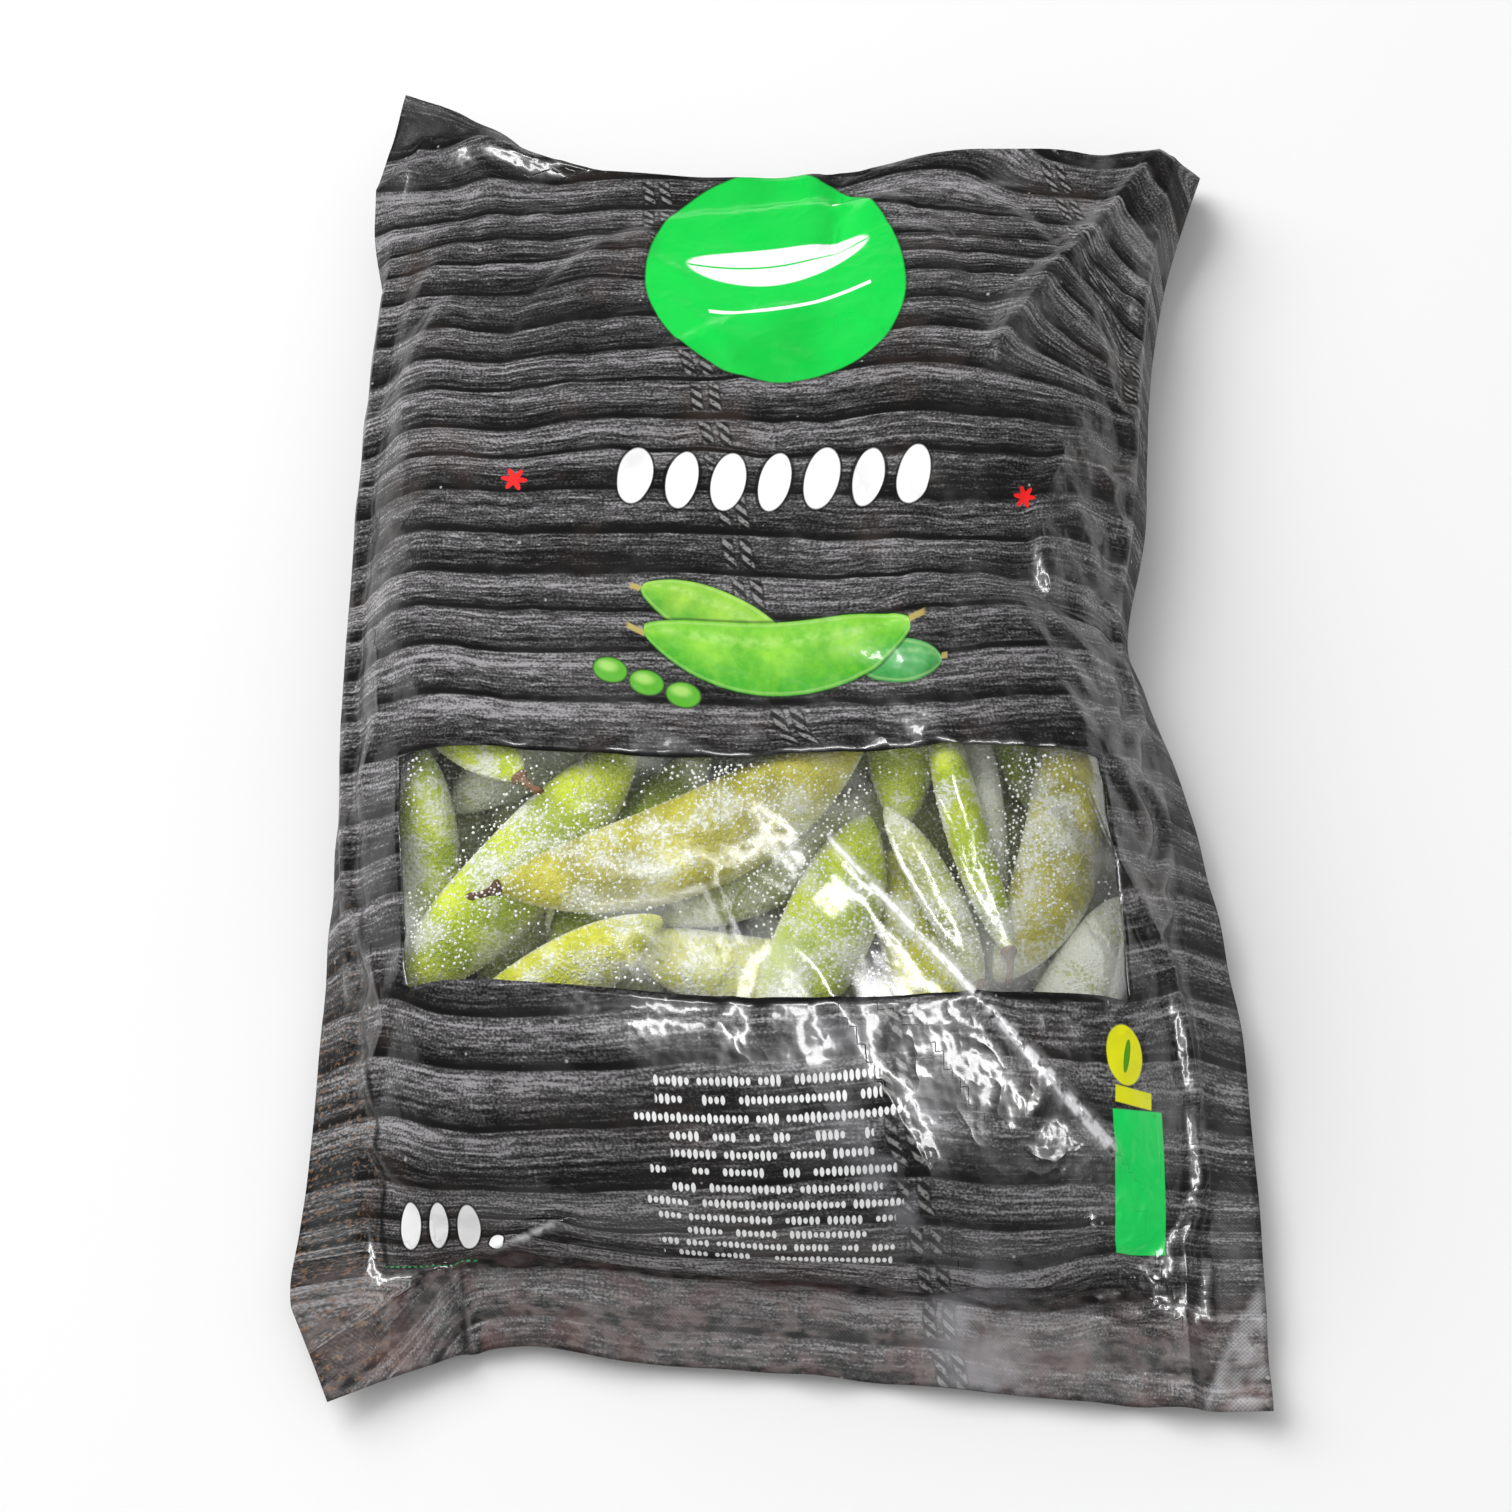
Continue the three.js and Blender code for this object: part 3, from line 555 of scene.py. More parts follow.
# Creases pressed in by handling: (points as s and t, height, half width).
CREASES = [
    ([(87, 285), (72, 253), (61, 232), (52, 214)], 3.2, 3.5),
    ([(12.5, 105), (18, 96.5), (24, 91), (35.5, 77), (50, 63), (65.5, 50)], 1.5, 2.0),
    ([(68, 112), (75, 98), (85, 84), (89, 66), (90, 48)], 2.2, 3.0),
    ([(90, 45), (84, 34), (83.5, 16), (84, 2)], 1.6, 2.4),
    ([(60, 36), (67, 28), (79, 15)], 1.5, 2.2),
    ([(88, 153), (80, 154), (73, 155.5), (60, 160)], -3.0, 4.0),
    ([(-95, 9), (-78, 11), (-62, 16), (-52, 23), (-43, 29)], 3.2, 3.0),
    ([(-68, 16), (-66, 8), (-65, 0)], -2.6, 2.6),
    ([(5, 298), (9, 283), (12, 270), (13, 254)], -2.8, 3.2),
    ([(-100, 270), (-84, 277), (-70, 282), (-57, 282), (-46, 288)], 2.6, 3.0),
    ([(-72, 262), (-60, 268), (-50, 280)], -1.5, 3.0),
    ([(34, 262), (44, 240), (50, 222)], -1.4, 3.4),
    ([(-84, 120), (-78, 132), (-80, 148)], 1.2, 2.5),
    ([(-86, 60), (-79, 70), (-82, 84)], 1.2, 2.5),
    ([(20, 60), (27, 47), (30, 36)], 1.0, 2.2),
    ([(-10, 28), (2, 22), (18, 24)], 1.0, 2.4),
    ([(-30, 246), (-36, 228), (-34, 214)], -0.9, 3.2),
    ([(70, 190), (64, 176), (70, 160)], 1.3, 2.6),
]


def distance_to_path(s, t, path):
    """How far film points are from a path of straight runs."""
    nearest = np.full(s.shape, np.inf)
    for (s0, t0), (s1, t1) in zip(path, path[1:]):
        ds, dt = s1 - s0, t1 - t0
        f = np.clip(((s - s0) * ds + (t - t0) * dt) / (ds * ds + dt * dt), 0, 1)
        nearest = np.minimum(nearest, np.hypot(s - s0 - f * ds, t - t0 - f * dt))
    return nearest


# Small folds from handling, more to the right: middle as s and t, turn, reach, height and half width.
SMALL_FOLDS, FOLD_SEED = 110, 83
drawn_s, drawn_t, drawn_turn, drawn_reach, drawn_rise, drawn_width = (
    np.random.default_rng(FOLD_SEED).uniform(0, 1, (SMALL_FOLDS, 6)).T
)
FOLDS = np.stack([
    96 - 178 * drawn_s**1.45,
    18 + 264 * drawn_t,
    np.radians(np.where(drawn_turn < 0.6, -75 + 75 * drawn_turn, 20 + 90 * (drawn_turn - 0.6))),
    8 + 20 * drawn_reach,
    np.where(drawn_rise < 0.7, 0.35 + 0.9 * drawn_rise, -0.8),
    1.2 + 2.4 * drawn_width,
], axis=-1)


def creased(s, t):
    """Height of the pressed creases and of the puckers along the welds."""
    height = np.zeros(s.shape)
    for path, rise, width in CREASES:
        height += rise * np.exp(-np.abs(distance_to_path(s, t, path) / width) ** 1.5)
    beside = np.clip((np.abs(s) - 74) / 20, 0, 1)
    wave = np.sin(t / 4.1 + 1.7 * np.sin(t / 17) + np.sign(s)) * np.sin(t / 29 + 2 * np.sign(s))
    height += PUCKER_HEIGHT * beside * wave
    below = np.clip((34 - t) / 20, 0, 1)
    above = np.clip((t - 268) / 18, 0, 1)
    gather = np.sin(s / 4.6 + 1.3 * np.sin(s / 13)) * np.sin(s / 21 + 0.8)
    height += GATHER_HEIGHT * (below + above) * gather
    for middle_s, middle_t, turn, reach, rise, width in FOLDS:
        near = (np.abs(s - middle_s) < 40) & (np.abs(t - middle_t) < 40)
        along = ((s - middle_s) * np.cos(turn) + (t - middle_t) * np.sin(turn))[near]
        away = ((t - middle_t) * np.cos(turn) - (s - middle_s) * np.sin(turn))[near] + along**2 / 90
        taper = np.clip(1 - (along / reach) ** 2, 0, 1)
        height[near] += rise * taper * np.exp(-(np.abs(away) / width) ** 1.3)
    return height


def slack(s, t):
    """Extra film across and along the bag, over what the plain form needs."""
    to_end = np.minimum(t, CUT_LENGTH - t)
    side = np.abs(s / HALF_CORE)
    handled = np.clip(s / 60, 0, 1) ** 2
    across = 1.010 + 0.016 * handled + 0.018 * np.exp(-((to_end / 34) ** 2))
    along = 1.009 + 0.014 * handled + 0.022 * np.clip(side, 0, 1) ** 5
    return across, along


def tops_under(points):
    """Height of the pods under each point, read smoothly from the map."""
    x = np.clip(points[..., 0] - MAP_LEFT - 0.5, 0, MAP_COLUMNS - 2)
    y = np.clip(points[..., 1] - MAP_BOTTOM - 0.5, 0, MAP_ROWS - 2)
    i, j = x.astype(int), y.astype(int)
    f, g = x - i, y - j
    low = smooth_tops[j, i] * (1 - f) + smooth_tops[j, i + 1] * f
    high = smooth_tops[j + 1, i] * (1 - f) + smooth_tops[j + 1, i + 1] * f
    return low * (1 - g) + high * g


smooth_tops = pod_tops.reshape(MAP_ROWS, MAP_COLUMNS).copy()
for _ in range(3):
    padded = np.pad(smooth_tops, 1, mode="edge")
    beside = padded[:-2, 1:-1] + padded[2:, 1:-1] + padded[1:-1, :-2] + padded[1:-1, 2:]
    smooth_tops = (beside + 2 * padded[1:-1, 1:-1]) / 6


def lifted(s, t):
    """The form's t for a film point. Its middle rides up a little, so that the window stays straight."""
    return t + 2.9 * np.clip(1 - (s / 72) ** 2, 0, 1) * np.exp(-(((t - 104) / 55) ** 2))


def edges_of(points):
    """The pairs of neighbouring points that keep their distance, in sets that share no point."""
    pairs = []
    for first in (0, 1):
        pairs.append((points[:, first:-1:2], points[:, first + 1 :: 2], "across"))
        pairs.append((points[first:-1:2], points[first + 1 :: 2], "along"))
        pairs.append((points[first:-1:2, :-1], points[first + 1 :: 2, 1:], "slant"))
        pairs.append((points[first:-1:2, 1:], points[first + 1 :: 2, :-1], "slant"))
    return [(a[: b.shape[0], : b.shape[1]], b, way) for a, b, way in pairs]


def front_limits(points, form):
    """The front web rests on the pods and on the air between them."""
    pods = tops_under(points)
    air = form[..., 2] - MOST_BELOW_FORM + POD_RELIEF * np.clip(pods - form[..., 2] + POD_REACH, 0, 7)
    low = np.maximum(pods + OVER_PODS, air)
    return low, np.maximum(form[..., 2] + MOST_ABOVE_FORM, low)


def back_limits(points, form):
    """The back web lies on the table."""
    return np.full(form.shape[:-1], BACK_LOWEST), form[..., 2] + BACK_ROOM


def relax(points, form, s, t, rounds, limits, held):
    """Pulls every edge to its length while the film bends, keeps to its limits and stays at its welds."""
    creased_form = form.copy()
    creased_form[..., 2] += creased(s, t)
    across, along = slack(s, t)
    extras = {"across": across, "along": along, "slant": (across + along) / 2}
    pairs = []
    for number, ((a, b, way), (start, end, _)) in enumerate(zip(edges_of(points), edges_of(creased_form))):
        more = edges_of(extras[way])[number][1]
        length = np.linalg.norm(end - start, axis=-1) * more
        pairs.append((a, b, length, SLANT_PULL if way == "slant" else EDGE_PULL))
    welded = ~in_core(s, t)
    weld = (held if held is not None else creased_form)[welded]
    hold = 1.0 if held is not None else SEAL_HOLD
    for _ in range(rounds):
        points[..., 2] -= np.where(welded, 0, FILM_WEIGHT)
        for a, b, length, pull in pairs:
            gap = b - a
            size = np.linalg.norm(gap, axis=-1)
            change = gap * (pull * (1 - length / np.maximum(size, 1e-6)))[..., None]
            a += change
            b -= change
        bend = np.zeros_like(points)
        for ahead, middle, behind in (
            (np.s_[:, 2:], np.s_[:, 1:-1], np.s_[:, :-2]),
            (np.s_[2:], np.s_[1:-1], np.s_[:-2]),
        ):
            curl = FILM_BENDING * (points[ahead] - 2 * points[middle] + points[behind])
            bend[middle] += curl / 2
            bend[ahead] -= curl / 4
            bend[behind] -= curl / 4
        points += bend
        points[..., :2] += DRIFT_HOLD * (creased_form - points)[..., :2]
        points[welded] += hold * (weld - points[welded])
        low, high = limits(points, creased_form)
        points[..., 2] = np.where(welded, points[..., 2], np.clip(points[..., 2], low, high))
    return points


def refined(grid, old_rows, old_columns, rows, columns):
    """A grid's values read on a finer grid."""
    wide = np.empty((len(old_rows), len(columns), grid.shape[2]))
    for r in range(len(old_rows)):
        for k in range(grid.shape[2]):
            wide[r, :, k] = np.interp(columns, old_columns, grid[r, :, k])
    fine = np.empty((len(rows), len(columns), grid.shape[2]))
    for c in range(len(columns)):
        for k in range(grid.shape[2]):
            fine[:, c, k] = np.interp(rows, old_rows, wide[:, c, k])
    return fine


def lay_film(form_of, limits, seed, weld_film=None):
    """A web's middle surface on the finest grid, relaxed on each grid in turn."""
    random = np.random.default_rng(seed)
    moved, old_rows, old_columns = None, None, None
    for step, rounds, roughness in FILM_LEVELS:
        rows = np.linspace(0, len(FILM_T) - 1, (len(FILM_T) - 1) // step + 1)
        columns = np.linspace(0, len(FILM_S) - 1, (len(FILM_S) - 1) // step + 1)
        t = np.interp(rows, np.arange(len(FILM_T)), FILM_T)
        s = np.interp(columns, np.arange(len(FILM_S)), FILM_S)
        t, s = np.meshgrid(t, s, indexing="ij")
        form = form_of(s, lifted(s, t))
        start = form.copy()
        start[..., 2] += creased(s, t)
        points = start.copy()
        if moved is not None:
            points += refined(moved, old_rows, old_columns, rows, columns)
        rough = roughness * random.uniform(-1, 1, s.shape)
        points[..., 2] += np.where(in_core(s, t), 1, SEAL_ROUGHNESS) * rough
        held = None
        if weld_film is not None:
            full = np.arange(len(FILM_T)), np.arange(len(FILM_S))
            held = refined(weld_film, *full, rows, columns)
        points = relax(points, form, s, t, rounds, limits, held)
        moved, old_rows, old_columns = points - start, rows, columns
    return points


front_film = lay_film(front_form, front_limits, FRONT_SEED)
back_film = lay_film(back_form, back_limits, BACK_SEED, front_film)

# ---- Front web ------------------------------------------------------------------------------------------
# The printed side of the bag: a thin laminate sheet, welded to the back along its edges and cut out for the
# window. It is printed with dark charcoal slats and the plain shapes on them, under a glossy skin.

FILM_GAUGE, FRONT_OFFSET, BACK_OFFSET = 0.16, 0.1, 0.02
film_t, film_s = np.meshgrid(FILM_T, FILM_S, indexing="ij")
# Points along printed gaps between the slats, in flat film millimetres.
SLAT_RUNS = [
    [(-88, 258), (-65, 256), (-54, 262), (-42, 268), (-29, 270), (20, 268), (32, 259), (51, 254), (72, 258)],
    [(-87, 244), (-60, 236), (-50, 244), (-38, 249), (-26, 250), (28, 244), (44, 240), (66, 240)],
    [(-86, 228), (-58, 222), (-48, 227), (-30, 233), (30, 232), (46, 230), (62, 231)],
    [(-84, 208), (-56, 200), (-36, 210), (-24, 213), (-15, 213), (26, 214), (42, 210), (58, 208)],
    [(-82, 198), (-64, 196), (-50, 198), (-36, 200), (-10, 202), (16, 198), (26, 196), (53, 194), (90, 199)],
    [(-81, 179), (-66, 174), (-54, 176), (-38, 178), (-28, 180), (-6, 180), (43, 172), (90, 180)],
    [(-79, 166), (-60, 164), (-34, 167), (-20, 169), (2, 169), (28, 165), (88, 164)],
    [(-77, 144), (-60, 142), (-46, 144), (-32, 146), (44, 142), (84, 144)],
    [(-90, 126), (-66, 122), (-28, 124), (10, 125), (48, 122), (74, 124)],
    [(-91, 76), (-50, 70), (-13, 74), (20, 76), (70, 75), (92, 78)],
    [(-86, 65), (-61, 60), (-45, 62), (-29, 62), (-11, 66), (19, 67), (60, 64), (93, 65)],
    [(-88, 52), (-60, 46), (-39, 48), (-28, 52), (-11, 53), (20, 58), (48, 54), (86, 52)],
    [(-93, 38), (-64, 32), (-44, 31), (-26, 40), (22, 44), (50, 42), (88, 42)],
    [(-95, 20), (-64, 15), (-56, 22), (-44, 18), (16, 18), (40, 15), (70, 22), (98, 22)],
    [(-66, 4), (-36, 3), (2, 4), (40, 5), (86, 4)],
]
RUN_REACH, CORNER_BEND, FLAP_BEND = (17, 12), 0.65, 0.6


def slat_heights():
    """How far up the print each film point is, so that a slat keeps one height all along."""
    total, weights = np.zeros_like(film_s), np.full_like(film_s, 1e-3)
    form_t = lifted(film_s, film_t)
    for run in SLAT_RUNS:
        own = np.interp(0, [point[0] for point in run], [point[1] for point in run])
        for s, t in run:
            weight = np.exp(-(((film_s - s) / RUN_REACH[0]) ** 2 + ((form_t - t) / RUN_REACH[1]) ** 2))
            total += weight * (own - t)
            weights += weight
    beyond = np.maximum(film_s - 61.5 - (film_t - 232.5) * 0.48, 0) * np.clip((film_t - 205) / 20, 0, 1)
    flap = np.clip((8 + (film_s + 100) * 0.225 - film_t) / 2.5 + 0.5, 0, 1)
    return form_t + total / weights + CORNER_BEND * beyond + FLAP_BEND * flap * np.maximum(-66 - film_s, 0)


def crease_distance():
    """How far each film point is from the nearest pressed crease, with a sign for its side."""
    nearest = np.full(film_s.shape, np.inf)
    for path, rise, width in CREASES:
        for (s0, t0), (s1, t1) in zip(path, path[1:]):
            ds, dt = s1 - s0, t1 - t0
            f = np.clip(((film_s - s0) * ds + (film_t - t0) * dt) / (ds * ds + dt * dt), 0, 1)
            away_s, away_t = film_s - s0 - f * ds, film_t - t0 - f * dt
            signed = np.hypot(away_s, away_t) * np.where(away_t * ds > away_s * dt, 1, -1)
            nearest = np.where(np.abs(signed) < np.abs(nearest), signed, nearest)
    return nearest


def grid_normals(points):
    """The normals of a grid of points, each with length one."""
    along_t, along_s = np.gradient(points, axis=0), np.gradient(points, axis=1)
    normals = np.cross(along_s, along_t)
    return normals / np.linalg.norm(normals, axis=-1, keepdims=True)


def film_piece(name, points, kept, outer, inner, material, marked=()):
    """A closed sheet over the kept cells of the film grid, with the flat film's coordinates as UV maps.

    Each marked material is given with the cells that it covers."""
    rows, columns = points.shape[:2]
    normals = grid_normals(points)
    faces_out = [placed(points + normals * offset).reshape(-1, 3) for offset in (outer, inner)]
    j, i = np.nonzero(kept)
    corner = j * columns + i
    cells = np.stack([corner, corner + 1, corner + columns + 1, corner + columns], axis=1)
    count = rows * columns
    edges = np.concatenate([cells[:, [k, (k + 1) % 4]] for k in range(4)])
    open_edges = edges[~np.isin(edges[:, 0] * count + edges[:, 1], edges[:, 1] * count + edges[:, 0])]
    start, end = open_edges.T
    rim = np.stack([start, start + count, end + count, end], axis=1)
    faces = np.concatenate([cells, cells[:, ::-1] + count, rim])
    used, faces = np.unique(faces, return_inverse=True)
    faces = faces.reshape(-1, 4)
    mesh = bpy.data.meshes.new(name)
    mesh.vertices.add(len(used))
    mesh.vertices.foreach_set("co", np.concatenate(faces_out)[used].ravel())
    mesh.loops.add(faces.size)
    mesh.loops.foreach_set("vertex_index", faces.ravel())
    mesh.polygons.add(len(faces))
    mesh.polygons.foreach_set("loop_start", np.arange(0, faces.size, 4))
    mesh.polygons.foreach_set("use_smooth", np.ones(len(faces), bool))
    for map_name, across, up in (("film", film_s, film_t), ("slats", crease_distance(), slat_heights())):
        uv = np.stack([(across + 150) / 300, up / 300], axis=-1).reshape(-1, 2)
        mesh.uv_layers.new(name=map_name).data.foreach_set("uv", uv[used % count][faces.ravel()].ravel())
    mesh.materials.append(material)
    worn = np.zeros(len(faces), np.int32)
    for slot, (marked_material, marked_cells) in enumerate(marked, start=1):
        mesh.materials.append(marked_material)
        worn[: 2 * len(cells)][np.tile(marked_cells[j, i], 2)] = slot
    mesh.polygons.foreach_set("material_index", worn)
    mesh.update(calc_edges=True)
    piece = bpy.data.objects.new("bag_" + name, mesh)
    bpy.context.scene.collection.objects.link(piece)
    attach(piece, "root")
    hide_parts(name)
    return piece


class Reading:
    """A number worked out in a material's nodes, so that a print is written as ordinary arithmetic."""

    def __init__(self, tree, value):
        self.tree, self.value = tree, value

    def math(self, operation, *others, clamp=False):
        node = self.tree.nodes.new("ShaderNodeMath")
        node.operation, node.use_clamp = operation, clamp
        for socket, given in zip(node.inputs, (self, *others)):
            connect(self.tree, socket, given)
        return Reading(self.tree, node.outputs[0])

    def __add__(self, other):
        return self.math("ADD", other)

    def __sub__(self, other):
        return self.math("SUBTRACT", other)

    def __rsub__(self, other):
        return self.math("MULTIPLY_ADD", -1.0, other)

    def __mul__(self, other):
        return self.math("MULTIPLY", other)

    def __truediv__(self, other):
        return self.math("DIVIDE", other)

    def __abs__(self):
        return self.math("ABSOLUTE")

    def below(self, edge, soft):
        """1 where the number is under an edge, fading to 0 over a soft width."""
        return self.step(edge + soft, edge - soft)

    def step(self, low, high):
        node = self.tree.nodes.new("ShaderNodeMapRange")
        node.interpolation_type = "SMOOTHSTEP"
        for socket, given in zip(node.inputs, (self, float(low), float(high))):
            connect(self.tree, socket, given)
        return Reading(self.tree, node.outputs[0])


def connect(tree, socket, given):
    """Links a reading to a socket, or sets a plain number on it."""
    if isinstance(given, Reading):
        tree.links.new(given.value, socket)
    else:
        socket.default_value = given


def flat_reading(tree, map_name):
    """The two film coordinates of a UV map, in millimetres."""
    uv = tree.nodes.new("ShaderNodeUVMap")
    uv.uv_map = map_name
    parts = tree.nodes.new("ShaderNodeSeparateXYZ")
    tree.links.new(uv.outputs[0], parts.inputs[0])
    return (Reading(tree, parts.outputs[0]) - 0.5) * 300.0, Reading(tree, parts.outputs[1]) * 300.0


def noise(tree, x, y, scale, detail, seed):
    """Smooth noise over two coordinates, with a scale in cells a millimetre and a number of finer layers."""
    place = tree.nodes.new("ShaderNodeCombineXYZ")
    connect(tree, place.inputs[0], x)
    connect(tree, place.inputs[1], y)
    place.inputs[2].default_value = seed
    node = tree.nodes.new("ShaderNodeTexNoise")
    node.inputs["Scale"].default_value = scale
    node.inputs["Detail"].default_value = detail
    tree.links.new(place.outputs[0], node.inputs["Vector"])
    return Reading(tree, node.outputs[0])


class Print:
    """The colour of a printed film, built up in layers."""

    def __init__(self, tree, colour):
        self.tree, self.colour = tree, colour

    def lay(self, cover, colour):
        node = self.tree.nodes.new("ShaderNodeMix")
        node.data_type = "RGBA"
        connect(self.tree, node.inputs[0], cover)
        self.tree.links.new(self.colour, node.inputs[6])
        if isinstance(colour, tuple):
            node.inputs[7].default_value = (*colour, 1)
        else:
            self.tree.links.new(colour, node.inputs[7])
        self.colour = node.outputs[2]


def slat_rows(tree, height, feature):
    """Slats of uneven width up the film, as cells along one line."""
    rows = tree.nodes.new("ShaderNodeTexVoronoi")
    rows.voronoi_dimensions, rows.feature = "1D", feature
    rows.inputs["Scale"].default_value = 1 / SLAT_PITCH
    rows.inputs["Randomness"].default_value = SLAT_UNEVENNESS
    connect(tree, rows.inputs["W"], height)
    return rows


def slat_print(material, low, right):
    """Charcoal wood slats with dark gaps, fine grain, pale specks and brown stains.

    Low slats are rusty and worn, with painted glints on the left seal; on the right, scuffs with painted
    sheen."""
    tree = material.node_tree
    s, t = flat_reading(tree, "film")
    sway = (noise(tree, s, t * 0.5, 0.016, 1.0, 4.0) - 0.5) * 7.0
    ripple = (noise(tree, s * 0.5, t, 0.05, 1.0, 9.0) - 0.5) * 1.5
    height = flat_reading(tree, "slats")[1] + sway + ripple
    slats, borders = slat_rows(tree, height, "F1"), slat_rows(tree, height, "DISTANCE_TO_EDGE")
    gap = Reading(tree, borders.outputs["Distance"]) * SLAT_PITCH
    up = height - Reading(tree, slats.outputs["W"])
    tone = Reading(tree, slats.outputs["Color"])
    lines = noise(tree, s * 0.015, height, 1.0, 3.0, 2.0)
    grain = noise(tree, s * 0.12, height, 1.5, 2.0, 6.0)
    mottle = noise(tree, s * 0.8, t, 2.1, 1.0, 1.0)
    patches = noise(tree, s * 0.35, t, 0.05, 1.0, 7.0)
    lit_above = up.step(-SLAT_PITCH / 2, SLAT_PITCH / 4) * 0.42
    light = lit_above + (tone - 0.5) * 0.2 + PLAIN_LIGHT
    for layer, share in ((lines, 1.2), (grain, 1.3), (mottle, 1.2), (patches, 0.6)):
        light = light + (layer - 0.5) * share
    edge = gap + (lines - 0.5) * 0.8 + (grain - 0.5) * 0.5
    light = light * (edge.step(0.3, 0.8) * 0.85 + gap.step(0.4, 2.4) * 0.15)
    ramp = tree.nodes.new("ShaderNodeValToRGB")
    connect(tree, ramp.inputs[0], light)
    stops = ramp.color_ramp.elements
    for position, grey in CHARCOAL_TONES:
        stops.new(position).color = (grey, grey * 0.97, grey, 1)
    stops.remove(stops[-1])
    stops.remove(stops[0])
    paint = Print(tree, ramp.outputs[0])
    paint.lay(edge.below(0.32, 0.14) * 0.9, GAP_BLACK)
    if low:
        rusty = noise(tree, s, t, 0.09, 3.0, 12.0).step(0.45, 0.7) * t.below(20, 8) * 0.5
        paint.lay(rusty, RUST)
        worn = noise(tree, s * 0.45, t, 0.6, 3.0, 71.0).step(0.4, 0.66) * t.below(19, 7)
        paint.lay(worn * 0.42, WORN_SEAL)
    if right:
        # Pale grey scuffs on the right: partly real wear and partly a painted milky sheen.
        scuffs_and_sheen = noise(tree, s, t, 0.06, 4.0, 17.0).step(0.5, 0.72) * s.step(RIGHT_FROM, 75) * 0.4
        paint.lay(scuffs_and_sheen, SCUFF_AND_SHEEN_GREY)
    if low:
        # Painted golden glints: sparkle on the seal strip along the bag's left side.
        painted_glints = noise(tree, s, t, 0.9, 2.0, 61.0).step(0.54, 0.68) * s.below(-85, 4) * t.below(85, 30)
        paint.lay(painted_glints * 0.5, GLINT_GOLD)
    paint.lay(noise(tree, s, t, 0.05, 2.0, 15.0).step(0.55, 0.75) * 0.25, STAIN)
    specks = tree.nodes.new("ShaderNodeTexVoronoi")
    specks.voronoi_dimensions = "2D"
    specks.inputs["Scale"].default_value = 0.16
    place = tree.nodes.new("ShaderNodeCombineXYZ")
    connect(tree, place.inputs[0], s)
    connect(tree, place.inputs[1], t)
    tree.links.new(place.outputs[0], specks.inputs["Vector"])
    speck_size = Reading(tree, specks.outputs["Color"]).step(0.7, 1.0) * 0.07
    paint.lay((Reading(tree, specks.outputs["Distance"]) - speck_size).below(0, 0.02) * 0.7, SPECK)
    return paint, s, t, height, gap


def local(s, t, place, tilt, skew=None):
    """Coordinates about a place on the film, turned by a slope, with their own skew where it is given."""
    across, up = s - place[0], t - place[1]
    return across + up * (-tilt if skew is None else skew), up + across * tilt


def sewn_cords(paint, s, t, height, gap, curve):
    """A pair of twisted cords along a curve of the film, passing under the edge of each slat."""
    middle = t * curve[0] + curve[1]
    for factor in curve[2:]:
        middle = middle * t + factor
    aside = s - middle + (noise(paint.tree, t * 0.0, height, 0.12, 0.0, 3.0) - 0.5) * 3.0
    across = abs(aside) - CORD_SPACING / 2
    over = gap.step(1.0, 1.8)
    paint.lay(abs(across).below(1.3, 0.3) * over * 0.85, CORD_SHADE)
    twist = (height * 2.2 + aside * 2.0).math("SINE")
    frayed = noise(paint.tree, s, t, 1.6, 1.0, 19.0).step(0.25, 0.55)
    paint.lay(abs(across).below(1.0, 0.25) * over * twist.step(-0.5, 0.6) * frayed, CORD_GREY)


def nearest_in_row(s, t, first, step, last, tilt):
    """Coordinates about the nearest of a row of like shapes, and its number in the row."""
    number = ((s - first[0]) / step[0]).math("ROUND").math("MAXIMUM", 0.0).math("MINIMUM", float(last))
    return (*local(s - number * step[0], t - number * step[1], first, tilt), number)


def oval(x, y, wide, high, soft=0.04):
    """An oval about the middle of its coordinates, half its size each way."""
    across, up = x / wide, y / high
    return (across * across + up * up).math("SQRT").below(1, soft)


def box(x, y, wide, high, soft=0.12):
    """A rounded box about the middle of its coordinates, half its size each way."""
    return abs(x).below(wide, soft) * abs(y).below(high, soft)


def drawn_pod(paint, s, t, place, tilt, half, bend, dark, pale):
    """A generic pod in the print: its seeds show as soft swellings, and its two tips are dry and tan."""
    x, y = local(s, t, place, tilt)
    along = x / half[0]
    y = y - along * along * bend
    body = abs(along).math("POWER", 2.4)
    width = (1.0 - body).math("MAXIMUM", 0.0).math("POWER", 0.7) * half[1]
    inside = abs(y) - width + abs(along).step(0.97, 1.0) * 9.0
    tips = abs(y - along * 0.8).below(0.7, 0.2) * abs(along).step(0.96, 0.98) * abs(along).below(1.1, 0.02)
    paint.lay(tips, (0.5, 0.4, 0.12))
    paint.lay(inside.below(0.6, 0.3) * 0.6, (0.01, 0.03, 0.005))
    cover = inside.below(0, 0.15)
    paint.lay(cover, dark)
    rise = y / width
    seeds = (along * 12.3).math("COSINE").step(-1.0, 1.0) * abs(rise).below(0.45, 0.5)
    grain = noise(paint.tree, s, t, 0.5, 3.0, 5.0).step(0.3, 0.7)
    lit = rise.step(-0.9, 0.8)
    paint.lay(cover * (seeds * 0.35 + lit * 0.45 + grain * 0.25).math("MINIMUM", 1.0), pale)
    shine = rise.below(0.55, 0.2) * rise.step(0.2, 0.6)
    paint.lay(cover * shine * grain * 0.35, (0.75, 0.95, 0.45))
    paint.lay(abs(inside + 0.6).below(0.2, 0.3) * cover * 0.35, (0.6, 0.8, 0.3))


